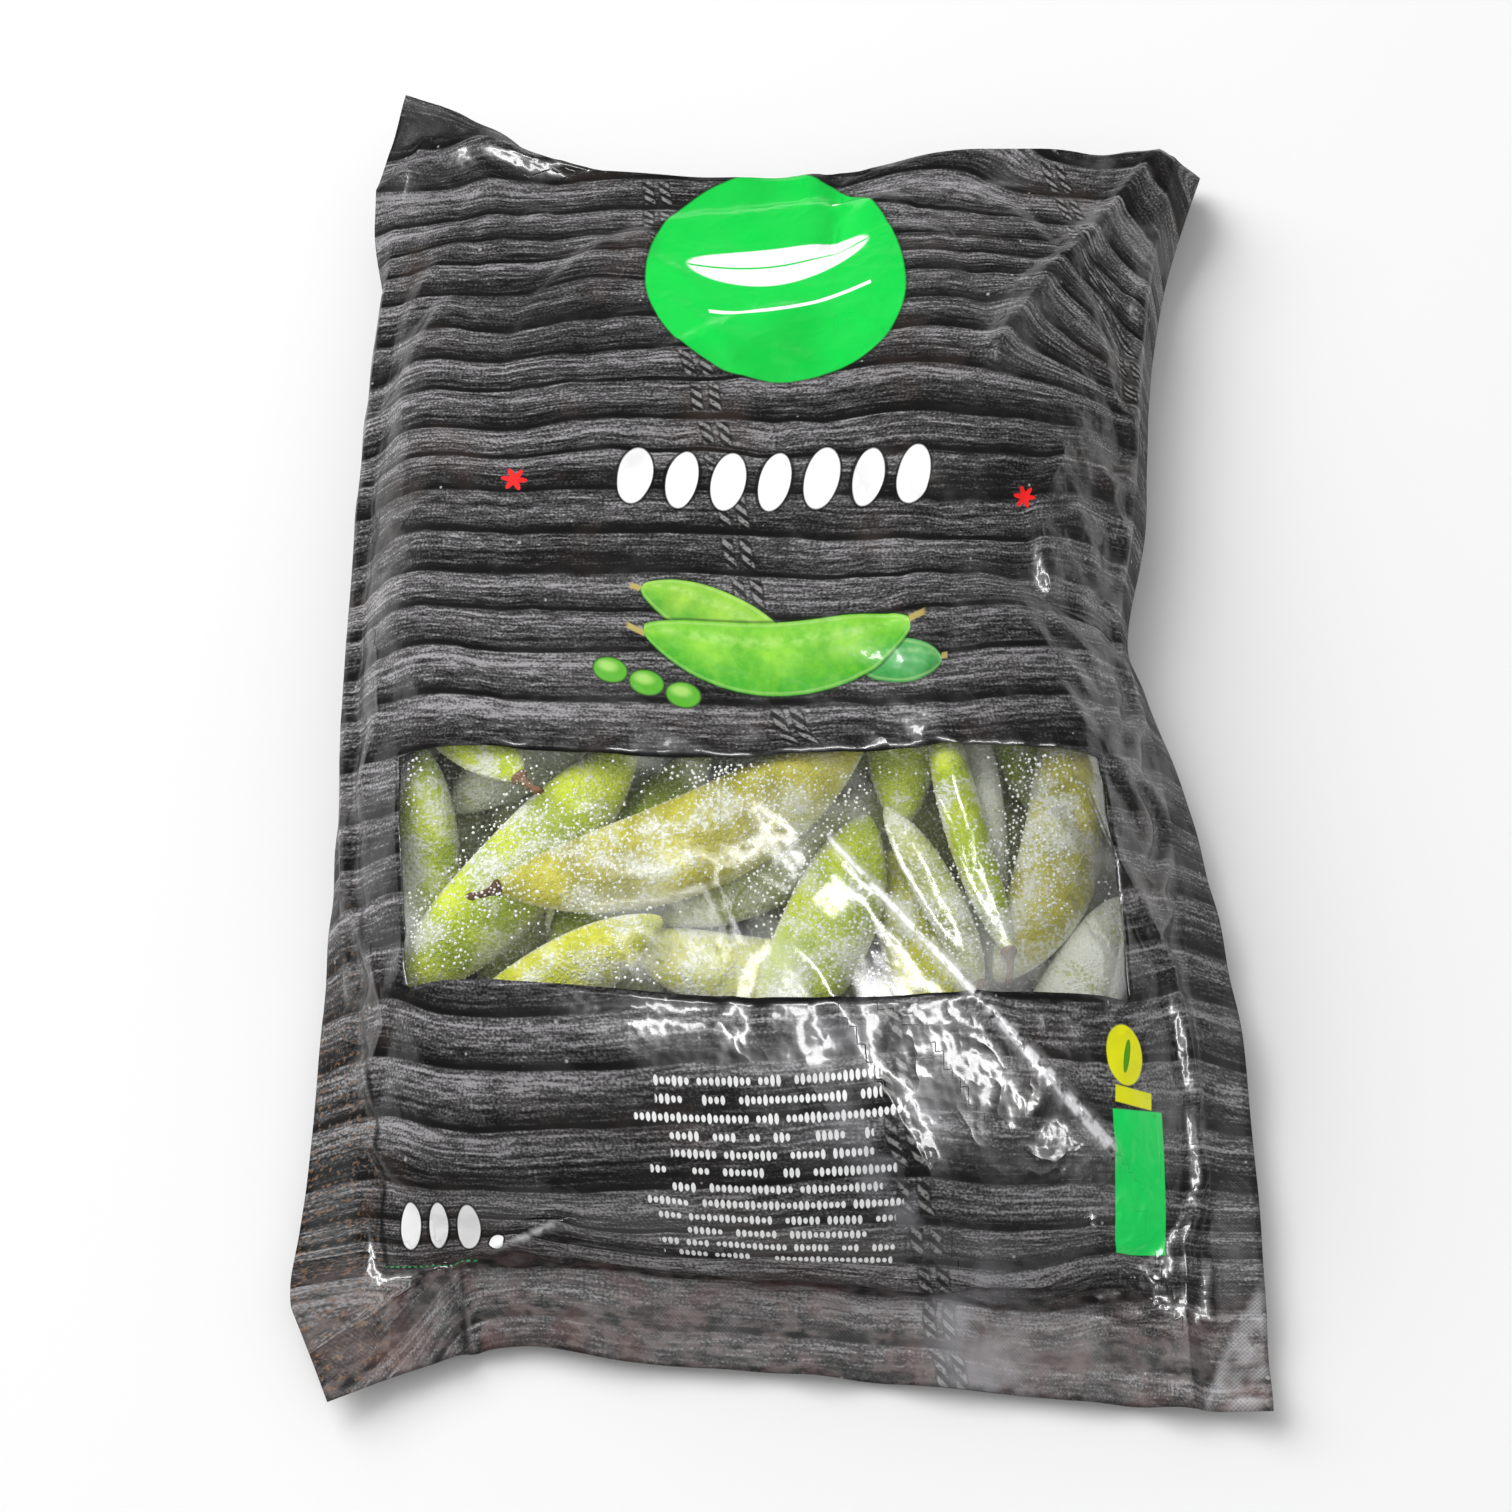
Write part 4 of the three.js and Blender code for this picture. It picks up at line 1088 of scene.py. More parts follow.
SLAT_PITCH, SLAT_UNEVENNESS, PLAIN_LIGHT = 9.8, 0.5, 0.22
CHARCOAL_TONES = ((0.02, 0.004), (0.25, 0.011), (0.6, 0.072), (0.99, 0.32))
GAP_BLACK, CORD_SPACING, MESH_TURNS = (0.0025, 0.0025, 0.0025), 3.6, 7.9
RUST, WORN_SEAL, SCUFF_AND_SHEEN_GREY = (0.12, 0.05, 0.04), (0.24, 0.195, 0.185), (0.22, 0.22, 0.22)
GLINT_GOLD, STAIN, SPECK = (0.30, 0.17, 0.09), (0.075, 0.045, 0.032), (0.5, 0.5, 0.48)
CORD_SHADE, CORD_GREY, OUTLINE_AND_SHADE_BLACK = (0.005, 0.005, 0.005), (0.27, 0.265, 0.26), (0.003, 0.003, 0.003)
CREASE_GLINT_WHITE, SHEEN_BAND_GREY, SEAL_SHEEN_GREY = (0.85, 0.85, 0.87), (0.40, 0.40, 0.43), (0.6, 0.6, 0.62)
WHITE, RED, YELLOW = (0.95, 0.95, 0.95), (0.9, 0.01, 0.01), (1.0, 1.0, 0.0)
GREEN, TAG_GREEN = (0.0, 0.66, 0.065), (0.0, 0.9, 0.14)
BADGE = ((1.9, 241.2), 0.148, 0.12, (27, 43, 31))  # middle, slope, skew, half width, height up and down
STARS = ((-47, 184.2), (60.5, 177.9))
# Pods in the printed picture: middle, slope, half size, bend, and the dark and the pale green.
DRAWN_PODS = (
    ((30, 140), 0.2, (10, 4.8), 1.5, (0.03, 0.30, 0.05), (0.16, 0.56, 0.18)),
    ((-3, 153), 0.55, (20, 6.6), -1.5, (0.10, 0.42, 0.03), (0.42, 0.75, 0.08)),
    ((8, 143), 0.05, (27, 8.2), 6.0, (0.05, 0.42, 0.02), (0.34, 0.76, 0.06)),
)
# Rows of white beans: the first's place, the step to the next, the last's number, and half their size.
WHITE_BEANS = (
    ((-22.3, 186.4), (9.4, -0.64), 6, (3.5, 6.9)),
    ((-77.0, 28.8), (7.4, -0.9), 2, (2.7, 5.6)),
    ((-56.0, 22.6), (7.4, 0.0), 0, (1.7, 2.4)),
)
FOLD_ENDS, ROW_PITCH, GRAIN_PITCH = (12.5, 65.5), 3.12, 1.12
# The line of the long crease's painted glint, as t against s.
CREASE_GLINT_PATH = [float(n) for n in np.polyfit([12.5, 18, 24, 35.5, 50, 65.5], [105, 96.5, 91, 77, 63, 50], 3)]
# Boxes of film that hold the marks above the window, and the lines that part the film's prints.
UPPER_BOUNDS = (
    (-33, 35, 204, 292), (-29, 41, 172, 197), (-53, -41, 178, 190), (54, 67, 172, 184), (-32, 46, 128, 172),
)
LOWER_TOP, PICTURE_TOP, RIGHT_FROM, TEXT_LEFT, TEXT_RIGHT, CORD_REACH = 121, 172, 30, -30, 42, 7
CORD_CURVES = (
    np.polyfit([284.6, 211, 174.4, 125.7, 75.1, 8.2], [-31.6, -10.4, -0.6, 7.6, 20.6, 29.4], 3),
    np.polyfit([284.6, 237.8, 204], [55.9, 79.3, 95.1], 2),
)


def film_creases(tree, s, t):
    """Relief of the laminate in millimetres: sharp crease lines and fine crinkles, more to the right."""
    from_crease = flat_reading(tree, "slats")[0]
    line = (from_crease / 0.55) * (from_crease / -0.55)
    ridge = line.math("EXPONENT") * noise(tree, s, t, 0.15, 0.0, 36.0).step(0.3, 0.55) * 0.3
    crinkles = abs(noise(tree, s, t, 0.085, 2.0, 24.0) - 0.5) * (s.step(-60, 70) * -1.3 - 0.9)
    facets = abs(noise(tree, s, t, 0.3, 1.0, 26.0) - 0.5) * s.step(-40, 60) * -0.3
    return ridge + crinkles + facets + noise(tree, s, t, 0.6, 0.0, 27.0) * 0.1


def painted_crease_glint(s, t):
    """A painted glint along the long crease across the window's lower right, where its ridge catches the
    light.
    """
    height = s * CREASE_GLINT_PATH[0] + CREASE_GLINT_PATH[1]
    for factor in CREASE_GLINT_PATH[2:]:
        height = height * s + factor
    away = abs(t - height) * 0.7 - s.step(25, 60) * 0.45
    ends = s.step(FOLD_ENDS[0], FOLD_ENDS[0] + 2) * s.below(FOLD_ENDS[1], 1)
    broken = noise(s.tree, s, t, 0.5, 2.0, 51.0).step(0.3, 0.62)
    return ((away - 0.25).below(0.2, 0.35) * broken + (away - 0.8).below(0.5, 1.2) * broken * 0.35) * ends


def film_surface(material, paint, s, t):
    """The laminate's gloss: crinkles, and the mesh pressed into its seals."""
    tree = material.node_tree
    shader = tree.nodes["Principled BSDF"]
    tree.links.new(paint.colour, shader.inputs["Base Color"])
    shader.inputs["Specular IOR Level"].default_value = 0.32
    shader.inputs["Coat Roughness"].default_value = 0.1
    at_ends = t.below(END_SEAL, 0.8) + t.step(CORE_TOP - 0.8, CORE_TOP + 0.8)
    seal = (at_ends + abs(s).step(90.5, 91.5)).math("MINIMUM", 1.0)
    rough = noise(tree, s, t, 0.12, 2.0, 21.0).step(0.3, 0.7) * 0.16 + seal * 0.3 + 0.27
    connect(tree, shader.inputs["Roughness"], rough)
    connect(tree, shader.inputs["Coat Weight"], (1.0 - seal) * 0.3 + 0.02)
    mesh_bump = (s * MESH_TURNS).math("SINE") * (t * MESH_TURNS).math("SINE") * seal * 0.025
    bump = tree.nodes.new("ShaderNodeBump")
    bump.inputs["Strength"].default_value = 0.6
    bump.inputs["Distance"].default_value = 0.001
    connect(tree, bump.inputs["Height"], film_creases(tree, s, t) + mesh_bump)
    tree.links.new(bump.outputs[0], shader.inputs["Normal"])
    tree.links.new(bump.outputs[0], shader.inputs["Coat Normal"])


def white_beans(paint, s, t, first, step, last, size):
    """A row of white beans with thin black outlines."""
    x, y, number = nearest_in_row(s, t, first, step, last, 0.08)
    paint.lay(oval(x, y, size[0] + 0.5, size[1] + 0.5) * 0.8, OUTLINE_AND_SHADE_BLACK)
    paint.lay(oval(x, y, size[0] - number.math("MODULO", 2.0) * 0.3, size[1]), WHITE)


def badge_marks(paint, s, t):
    """A green badge with a plain white leaf, and a row of white beans between two red stars."""
    x, y = local(s, t, *BADGE[:3])
    wide, high, deep = BADGE[3]
    across, up, down = x / wide, y.math("MAXIMUM", 0.0) / high, y.math("MINIMUM", 0.0) / deep
    badge_radius = (across * across + up * up + down * down).math("SQRT")
    badge = badge_radius.below(1, 0.01)
    paint.lay(badge_radius.below(1.02, 0.02) * 0.7, (0.004, 0.008, 0.004))
    paint.lay(badge, GREEN)
    paint.lay(badge * noise(s.tree, s, t, 0.03, 1.0, 30.0).step(0.45, 0.7) * 0.5, (0.0, 0.42, 0.035))
    x, y = local(s, t, (2, 248), -0.12, 0.2)
    leaf = oval(x, y - x * x * 0.012, 19, 7)
    paint.lay(leaf, WHITE)
    paint.lay(leaf * abs(y - x * x * 0.012).below(0.35, 0.15), GREEN)
    paint.lay(box(x - 1.0, y + 16.0 - x * x * 0.01, 17, 0.6), WHITE)
    white_beans(paint, s, t, *WHITE_BEANS[0])
    for place in STARS:
        x, y = local(s, t, place, 0.05)
        angle = y.math("ARCTAN2", x)
        reach = (angle * 6.0).math("COSINE") * 0.75 + 2.1
        paint.lay(((x * x + y * y).math("SQRT") - reach).below(0, 0.15), RED)


def picture_marks(paint, s, t):
    """A picture of three pods and three beans."""
    for drawn in DRAWN_PODS:
        drawn_pod(paint, s, t, *drawn)
    x, y, number = nearest_in_row(s, t, (-25.2, 140.4), (6.9, -2.5), 2, 0.2)
    paint.lay(oval(x, y, 3.6, 3.1), (0.02, 0.05, 0.01))
    paint.lay(oval(x, y, 3.3, 2.8, 0.1), (0.1, 0.45, 0.02))
    paint.lay(oval(x + 0.6, y - 0.8, 1.8, 1.2, 0.6) * 0.7, (0.5, 0.8, 0.2))


def lower_left_marks(paint, s, t):
    """Three white beans and a small one over a dashed green line, and painted shade and a painted glint on
    left folds.
    """
    for row_of_beans in WHITE_BEANS[1:]:
        white_beans(paint, s, t, *row_of_beans)
    x, y = local(s, t, (-72.6, 17.9), 0.14)
    paint.lay(box(x, y, 12.5, 0.25) * (x * 4.0).math("SINE").step(-0.3, 0.1) * 0.8, (0.02, 0.45, 0.14))
    # Painted shade: dark lines in a tuck at the bottom left and along the fold down the bag's left side.
    pinch_shade = abs(s + 66.5 - (t - 8.0) * 0.2).below(0.5, 0.9) * t.below(15, 2)
    sway = (noise(s.tree, s * 0.0, t, 0.06, 1.0, 73.0) - 0.5) * 4.0
    side_fold_shade = abs(s + 84.5 + sway).below(0.6, 0.5) * t.below(98, 14) * t.step(14, 22)
    paint.lay((pinch_shade + side_fold_shade) * 0.85, OUTLINE_AND_SHADE_BLACK)
    # A painted glint on the tip of a fold at the bottom left.
    tip = abs((t - s * 0.69 - 58.4) * 0.82).below(0.5, 0.7) * s.step(-60, -50) * s.below(-43.5, 0.7)
    paint.lay(tip * noise(s.tree, s, t, 0.4, 1.0, 75.0).step(0.3, 0.6) * 0.7, (0.8, 0.8, 0.8))


def painted_glare_marks(paint, s, t):
    """Painted glare on the laminate: a glint along the long crease, and a pale band of painted sheen beside
    it.
    """
    # A painted glint along the long crease.
    paint.lay(painted_crease_glint(s, t) * 0.8, CREASE_GLINT_WHITE)
    # A pale band of painted sheen beside the crease, broken up in patches.
    aside = (s - 32.0 + (t - 20.0) * 0.35) / 11.0
    painted_sheen_band = (aside * aside * -1.0).math("EXPONENT") * t.below(78, 4)
    painted_sheen_band = painted_sheen_band * noise(s.tree, s, t, 0.07, 4.0, 77.0).step(0.44, 0.64)
    paint.lay(painted_sheen_band * 0.5, SHEEN_BAND_GREY)


def lower_middle_marks(paint, s, t):
    """Rows of small white grains, and the painted glare over them."""
    row = (63.6 - t + s * 0.07) / ROW_PITCH
    line = row.math("FLOOR")
    along = s / GRAIN_PITCH + line * 0.37
    grain_height = noise(s.tree, along.math("FLOOR"), line * 3.1, 0.9, 0.0, 35.0).step(0.4, 0.6) * 0.3 + 0.62
    x, y = (along.math("FRACT") - 0.5) * GRAIN_PITCH, (row.math("FRACT") - 0.5) * ROW_PITCH
    grains = oval(x, y, 0.42, grain_height, 0.12)
    wobble = (line * 2.3).math("SINE") * 2.6 + (line * 5.1).math("SINE") * 1.8
    words = noise(s.tree, along.math("FLOOR") * 0.3, line * 7.3, 1.3, 0.0, 33.0).step(0.36, 0.361)
    rows = row.step(-0.01, 0.01) * row.below(12.0, 0.01) * (abs(s + 1.5) + wobble).below(21, 0.2)
    paint.lay(grains * words * rows, WHITE)
    painted_glare_marks(paint, s, t)


def lower_right_marks(paint, s, t):
    """A yellow dot with a leaf over a yellow bar, a green tag, painted glare, and painted sheen on the
    corner's pressed mesh.
    """
    x, y = local(s, t, (69.7, 66.2), 0.0)
    paint.lay(oval(x, y, 4.6, 5.0), YELLOW)
    paint.lay(oval(x - 0.6 - y * 0.3, y + 0.2, 0.8, 2.8), (0.12, 0.4, 0.0))
    x, y = local(s, t, (71.3, 59.3), 0.12)
    paint.lay(box(x, y, 4.8, 1.4), YELLOW)
    x, y = local(s, t, (72.1, 43.9), 0.01)
    paint.lay(box(x, y, 6.6, 13.3), TAG_GREEN)
    painted_glare_marks(paint, s, t)
    # A painted sheen on the mesh pressed into the seal at the lower right corner.
    mesh = ((s * MESH_TURNS).math("SINE") * (t * MESH_TURNS).math("SINE")).step(-0.8, 0.8) * 0.5 + 0.5
    pressed = (s - t * 0.5 - 86.0).step(0, 2) * t.below(27, 3) * mesh
    pressed = pressed * noise(s.tree, s, t, 0.2, 1.0, 63.0).step(0.3, 0.6)
    paint.lay(pressed * 0.5, SEAL_SHEEN_GREY)


def printed_film(name, low, right, cords=(), marks=None):
    """The finished laminate: the slats, the sewn cords and any marks on them, and the gloss over all."""
    material = bpy.data.materials.new(name)
    material.use_nodes = True
    paint, s, t, height, gap = slat_print(material, low, right)
    for curve in cords:
        sewn_cords(paint, s, t, height, gap, [float(factor) for factor in curve])
    if marks is not None:
        marks(paint, s, t)
    film_surface(material, paint, s, t)
    return material


middle_s = (film_s[:-1, :-1] + film_s[1:, 1:]) / 2
middle_t = (film_t[:-1, :-1] + film_t[1:, 1:]) / 2


def cells_between(left, right, bottom, top):
    """The cells of the film grid inside a box."""
    return (middle_s > left) & (middle_s < right) & (middle_t > bottom) & (middle_t < top)


def cells_within(grow):
    """The cells inside the window's opening, grown by a margin."""
    left, right, bottom, top = (WINDOW[side] for side in ("left", "right", "bottom", "top"))
    return cells_between(left - grow, right + grow, bottom - grow, top + grow)


# Each part of the front web has a material with no more printed on it than that part shows.
upper, upper_right = middle_t > LOWER_TOP, (middle_t > LOWER_TOP) & (middle_s > RIGHT_FROM)
marked = np.zeros_like(upper)
for bounds in UPPER_BOUNDS:
    marked |= cells_between(*bounds)
for curve in CORD_CURVES:
    marked |= np.abs(middle_s - np.polyval(curve, middle_t)) < CORD_REACH
badged, pictured = upper & marked & (middle_t > PICTURE_TOP), upper & marked & (middle_t < PICTURE_TOP)
lower_left, lower_right = ~upper & (middle_s < TEXT_LEFT), ~upper & (middle_s > TEXT_RIGHT)
lower_middle = ~upper & ~lower_left & ~lower_right
front_prints = (
    (printed_film("right_slats", False, True), upper_right & ~marked),
    (printed_film("badge_print", False, True, CORD_CURVES, badge_marks), badged),
    (printed_film("picture_print", False, True, CORD_CURVES[:1], picture_marks), pictured),
    (printed_film("lower_left_print", True, False, (), lower_left_marks), lower_left),
    (printed_film("lower_middle_print", True, True, CORD_CURVES[:1], lower_middle_marks), lower_middle),
    (printed_film("lower_right_print", True, True, (), lower_right_marks), lower_right),
)
upper_slats = printed_film("upper_slats", False, False)
around_window = ~cells_within(0)
front_outer = FRONT_OFFSET + FILM_GAUGE
front = film_piece(
    "front_web", front_film, around_window, front_outer, FRONT_OFFSET, upper_slats, front_prints
)

# ---- Back web -------------------------------------------------------------------------------------------
# The other side of the bag, of the same laminate and printed with the slats alone. It lies on the table,
# flat under the pods, and is welded to the front web's seals.

everywhere = np.ones_like(upper)
back_outer = BACK_OFFSET - FRONT_OFFSET
back_inner = back_outer - FILM_GAUGE
back_print = printed_film("back_print", True, True)
back = film_piece("back_web", back_film, everywhere, back_outer, back_inner, back_print)

# ---- Window film ----------------------------------------------------------------------------------------
# A clear sheet behind the opening of the front web, lapped a little under its edge and fused to it. It is
# hazy with the cold, and its gloss shows every crease.

clear_film = bpy.data.materials.new("clear_film")
clear_film.use_nodes = True
tree = clear_film.node_tree
skin = tree.nodes["Principled BSDF"]
s, t = flat_reading(tree, "film")
skin.inputs["Base Color"].default_value = (0.95, 0.97, 0.93, 1)
skin.inputs["Roughness"].default_value = 0.6
bump = tree.nodes.new("ShaderNodeBump")
bump.inputs["Strength"].default_value = 0.6
bump.inputs["Distance"].default_value = 0.001
connect(tree, bump.inputs["Height"], film_creases(tree, s, t) * 0.6)
clear = tree.nodes.new("ShaderNodeBsdfTransparent")
gloss = tree.nodes.new("ShaderNodeBsdfGlossy")
gloss.inputs["Roughness"].default_value = 0.13
tree.links.new(bump.outputs[0], gloss.inputs["Normal"])
weight = tree.nodes.new("ShaderNodeFresnel")
weight.inputs["IOR"].default_value = 1.55
tree.links.new(bump.outputs[0], weight.inputs["Normal"])
breath = noise(tree, s, t, 0.04, 3.0, 41.0).step(0.5, 0.72) * 0.16
rime = noise(tree, s, t, 1.5, 1.0, 42.0).step(0.5, 0.8) * 0.08
# The haze is whiter along the long crease: a painted glint.
haze = (breath + rime + painted_crease_glint(s, t) * 0.8 + 0.01).math("MINIMUM", 1.0)
shine = Reading(tree, weight.outputs[0]) * (s.step(-18, 12) * 0.32 + 0.08)
under_shader = clear
for cover, layer in ((haze, skin), (shine, gloss)):
    both = tree.nodes.new("ShaderNodeMixShader")
    connect(tree, both.inputs[0], cover)
    tree.links.new(under_shader.outputs[0], both.inputs[1])
    tree.links.new(layer.outputs[0], both.inputs[2])
    under_shader = both
tree.links.new(both.outputs[0], tree.nodes["Material Output"].inputs[0])
window = film_piece(
    "window_film", front_film, cells_within(2.5), FRONT_OFFSET - 0.02, FRONT_OFFSET - 0.12, clear_film
)

# ---- Pods -----------------------------------------------------------------------------------------------
# Frozen soybean pods: a leathery two-sided shell over two or three seeds, with a seam along each edge and
# the dried stalk at one end, dusted with frost. Those that show are finer meshes.

POD_COLOURS = {
    "olive": ((0.42, 0.40, 0.03), (0.74, 0.70, 0.10)),
    "bright": ((0.38, 0.52, 0.012), (0.70, 0.82, 0.06)),
    "yellow": ((0.52, 0.56, 0.02), (0.82, 0.82, 0.09)),
    "dull": ((0.40, 0.45, 0.10), (0.70, 0.75, 0.32)),
}
STALK_ENDS = {1: -1, 3: -1, 4: -1, 7: 1, 8: -1, 12: -1}
STALK_RINGS, STALK_SIDES = 9, 10
SHOWN_MESH, HIDDEN_MESH = (64, 32), (22, 12)
SEAM_YELLOW, FROST_FILM, FROST_WHITE = (0.62, 0.6, 0.33), (0.82, 0.85, 0.7), (0.93, 0.95, 0.88)
# Each shown pod's skin and how much frost is on it.
SHOWN_LOOKS = [
    ("olive", 0.36), ("bright", 0.42), ("bright", 0.44), ("dull", 0.55), ("olive", 0.48), ("bright", 0.42),
    ("bright", 0.42), ("dull", 0.85), ("bright", 0.46), ("yellow", 0.38), ("bright", 0.46), ("yellow", 0.48),
    ("bright", 0.36), ("yellow", 0.48), ("dull", 0.66), ("dull", 0.70), ("dull", 0.66), ("dull", 0.72),
    ("bright", 0.50),
]


def pod_skin(name, colours, frost):
    """Green skin in two tones with darker flecks, a pale seam, fine fuzz, and frost in grains and patches."""
    material = bpy.data.materials.new(name)
    material.use_nodes = True
    tree = material.node_tree
    shader = tree.nodes["Principled BSDF"]
    where = tree.nodes.new("ShaderNodeTexCoord")
    parts = tree.nodes.new("ShaderNodeSeparateXYZ")
    tree.links.new(where.outputs["Object"], parts.inputs[0])
    x, y, z = (Reading(tree, output) * 1000.0 for output in parts.outputs)
    y = y + z * 0.5
    tone = noise(tree, x, y, 0.12, 4.0, 2.0).step(0.3, 0.7)
    base = tree.nodes.new("ShaderNodeRGB")
    base.outputs[0].default_value = (*colours[0], 1)
    paint = Print(tree, base.outputs[0])
    paint.lay(tone, colours[1])
    darker = tuple(value * 0.5 for value in colours[0])
    paint.lay(noise(tree, x, y, 1.1, 3.0, 8.0).step(0.52, 0.7) * 0.3, darker)
    edge = tree.nodes.new("ShaderNodeAttribute")
    edge.attribute_name = "seam"
    seam = Reading(tree, edge.outputs["Fac"])
    paint.lay(seam.step(0.55, 0.85) * 0.6, SEAM_YELLOW)
    grains = noise(tree, x, y, 1.7, 3.0, 5.0)
    patches = noise(tree, x, y, 0.13, 3.0, 11.0)
    paint.lay((patches + seam * 0.1).step(0.72 - frost * 0.6, 0.98 - frost * 0.6) * 0.6, FROST_FILM)
    cover = (grains * 1.6 + patches * 1.2 + seam * 0.1).step(1.86 - frost, 2.1 - frost)
    paint.lay(cover * 0.85, FROST_WHITE)
    tree.links.new(paint.colour, shader.inputs["Base Color"])
    shader.inputs["Roughness"].default_value = 0.75
    shader.inputs["Specular IOR Level"].default_value = 0.2
    bump = tree.nodes.new("ShaderNodeBump")
    bump.inputs["Strength"].default_value = 0.8
    bump.inputs["Distance"].default_value = 0.0006
    connect(tree, bump.inputs["Height"], grains + noise(tree, x, y, 0.7, 2.0, 15.0))
    tree.links.new(bump.outputs[0], shader.inputs["Normal"])
    return material


stalk_brown = pod_skin("dried_stalk", ((0.11, 0.045, 0.02), (0.30, 0.17, 0.09)), 0.15)


def pod_shape(pod, rings, sides, fine):
    """One closed pod with its seam, as points in rings from stalk to tip, in drawn millimetres."""
    u = -np.cos(np.linspace(0.06, np.pi - 0.06, rings))[:, None]
    around = (np.arange(sides) * 2 * np.pi / sides)[None, :]
    length, width, thickness = (float(pod[k][0]) for k in ("length", "width", "thickness"))
    seam = 0.35 * np.exp(-((np.sin(around) / 0.16) ** 2)) * (1 - np.abs(u) ** 6) if fine else 0
    half_width = width / 2 * pod_width(u) + 0.45
    half_depth = thickness / 2 * pod_swell(u, int(pod["seeds"][0])) + 0.3
    bow = float(pod["bend"][0]) * length * (u * u - 1 / 3)
    x = u * length / 2 + 0 * around
    y = bow + (half_width + seam) * np.cos(around)
    z = half_depth * np.sin(around) * (1 - 0.12 * np.abs(np.cos(around)) ** 3)
    lean = float(pod["tilt"][0]) * x + float(pod["roll"][0]) * y
    flat_x, flat_y = on_pod(pod, x.reshape(1, -1), y.reshape(1, -1))
    return np.stack([flat_x[0], flat_y[0], (float(pod["z"][0]) + lean + z).ravel()], axis=-1)


def ring_faces(rings, sides, start):
    """The faces between rings of points, and over both ends."""
    faces = []
    for ring in range(rings - 1):
        for side in range(sides):
            a, b = start + ring * sides + side, start + ring * sides + (side + 1) % sides
            faces.append((b, a, a + sides, b + sides))
    first, end = tuple(range(start, start + sides)), start + rings * sides
    return faces + [first, tuple(range(end - 1, end - sides - 1, -1))]


def stalk_shape(pod, end):
    """The dried stalk and its small cup, curling up from one end of a pod."""
    length, bend = float(pod["length"][0]), float(pod["bend"][0])
    path = np.linspace(0, 1, STALK_RINGS)
    out = end * (length / 2 - 1.2 + 6.5 * path)
    side = bend * length * 2 / 3 + end * bend * 8 * path + 1.6 * path**2
    radius = np.interp(path, [0, 0.15, 0.3, 0.75, 0.92, 1], [1.5, 1.7, 0.8, 0.62, 0.95, 0.5])
    around = np.arange(STALK_SIDES) * 2 * np.pi / STALK_SIDES * end
    y = side[:, None] + radius[:, None] * np.cos(around)
    z = radius[:, None] * np.sin(around) * 0.9
    x = out[:, None] + 0 * y
    lean = float(pod["tilt"][0]) * x + float(pod["roll"][0]) * y
    flat_x, flat_y = on_pod(pod, x.reshape(1, -1), y.reshape(1, -1))
    return np.stack([flat_x[0], flat_y[0], (float(pod["z"][0]) + lean + z).ravel()], axis=-1)


def pod_piece(name, pods, mesh_size, materials, fine=False, stalk_end=0):
    """One object of one pod, or of several frozen together."""
    points, faces, brown = [], [], []
    (rings, sides), count = mesh_size, 0
    for pod in pods:
        points.append(pod_shape(pod, rings, sides, fine))
        faces += ring_faces(rings, sides, count)
        count += rings * sides
        if stalk_end:
            brown.append(len(faces))
            points.append(stalk_shape(pod, stalk_end))
            faces += ring_faces(STALK_RINGS, STALK_SIDES, count)
            count += STALK_RINGS * STALK_SIDES
            brown.append(len(faces))
    mesh = bpy.data.meshes.new(name)
    mesh.from_pydata(placed(np.concatenate(points)).tolist(), [], faces)
    for material in materials:
        mesh.materials.append(material)
    mesh.polygons.foreach_set("use_smooth", np.ones(len(faces), bool))
    if brown:
        worn = [int(brown[0] <= k < brown[1]) for k in range(len(faces))]
        mesh.polygons.foreach_set("material_index", worn)
    mesh.update()
    around = np.abs(np.cos(np.arange(sides) * 2 * np.pi / sides))
    stalk_points = STALK_RINGS * STALK_SIDES if stalk_end else 0
    seam = np.concatenate([np.tile(around**6, rings), np.zeros(stalk_points)])
    seam = np.tile(seam, len(pods))
    mesh.attributes.new("seam", "FLOAT", "POINT").data.foreach_set("value", seam)
    piece = bpy.data.objects.new("frozen_" + name, mesh)
    bpy.context.scene.collection.objects.link(piece)
    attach(piece, "root")
    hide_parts(name)
    return piece


shown_pieces = []
for number, (pod, look) in enumerate(zip(shown_pods, SHOWN_LOOKS), 1):
    skin = pod_skin(f"pod_{number:02d}", POD_COLOURS[look[0]], look[1])
    materials, end = [skin, stalk_brown], STALK_ENDS.get(number, 0)
    shown_pieces.append(pod_piece(f"shown_pod_{number:02d}", [pod], SHOWN_MESH, materials, True, end))
frozen_skin = pod_skin("frozen_pods", POD_COLOURS["dull"], 0.45)
for number, clump in enumerate(pod_clumps, 1):
    pod_piece(f"pod_clump_{number:02d}", clump, HIDDEN_MESH, [frozen_skin])
for number, pod in enumerate(loose_pods, 1):
    pod_piece(f"loose_pod_{number:02d}", [pod], HIDDEN_MESH, [frozen_skin])

# ---- Frost ----------------------------------------------------------------------------------------------
# Ice crystals inside the window: grains in patches on the pods that show, and a thinner scatter that clings
# to the inner side of the clear film. Each is a small faceted crystal.


FULL_TURN, FULL_COVER, GRAIN_DETAIL = 6.28, 0.72, 4
STEEPEST_SHOWN, UNDER_FILM = 0.25, 0.25


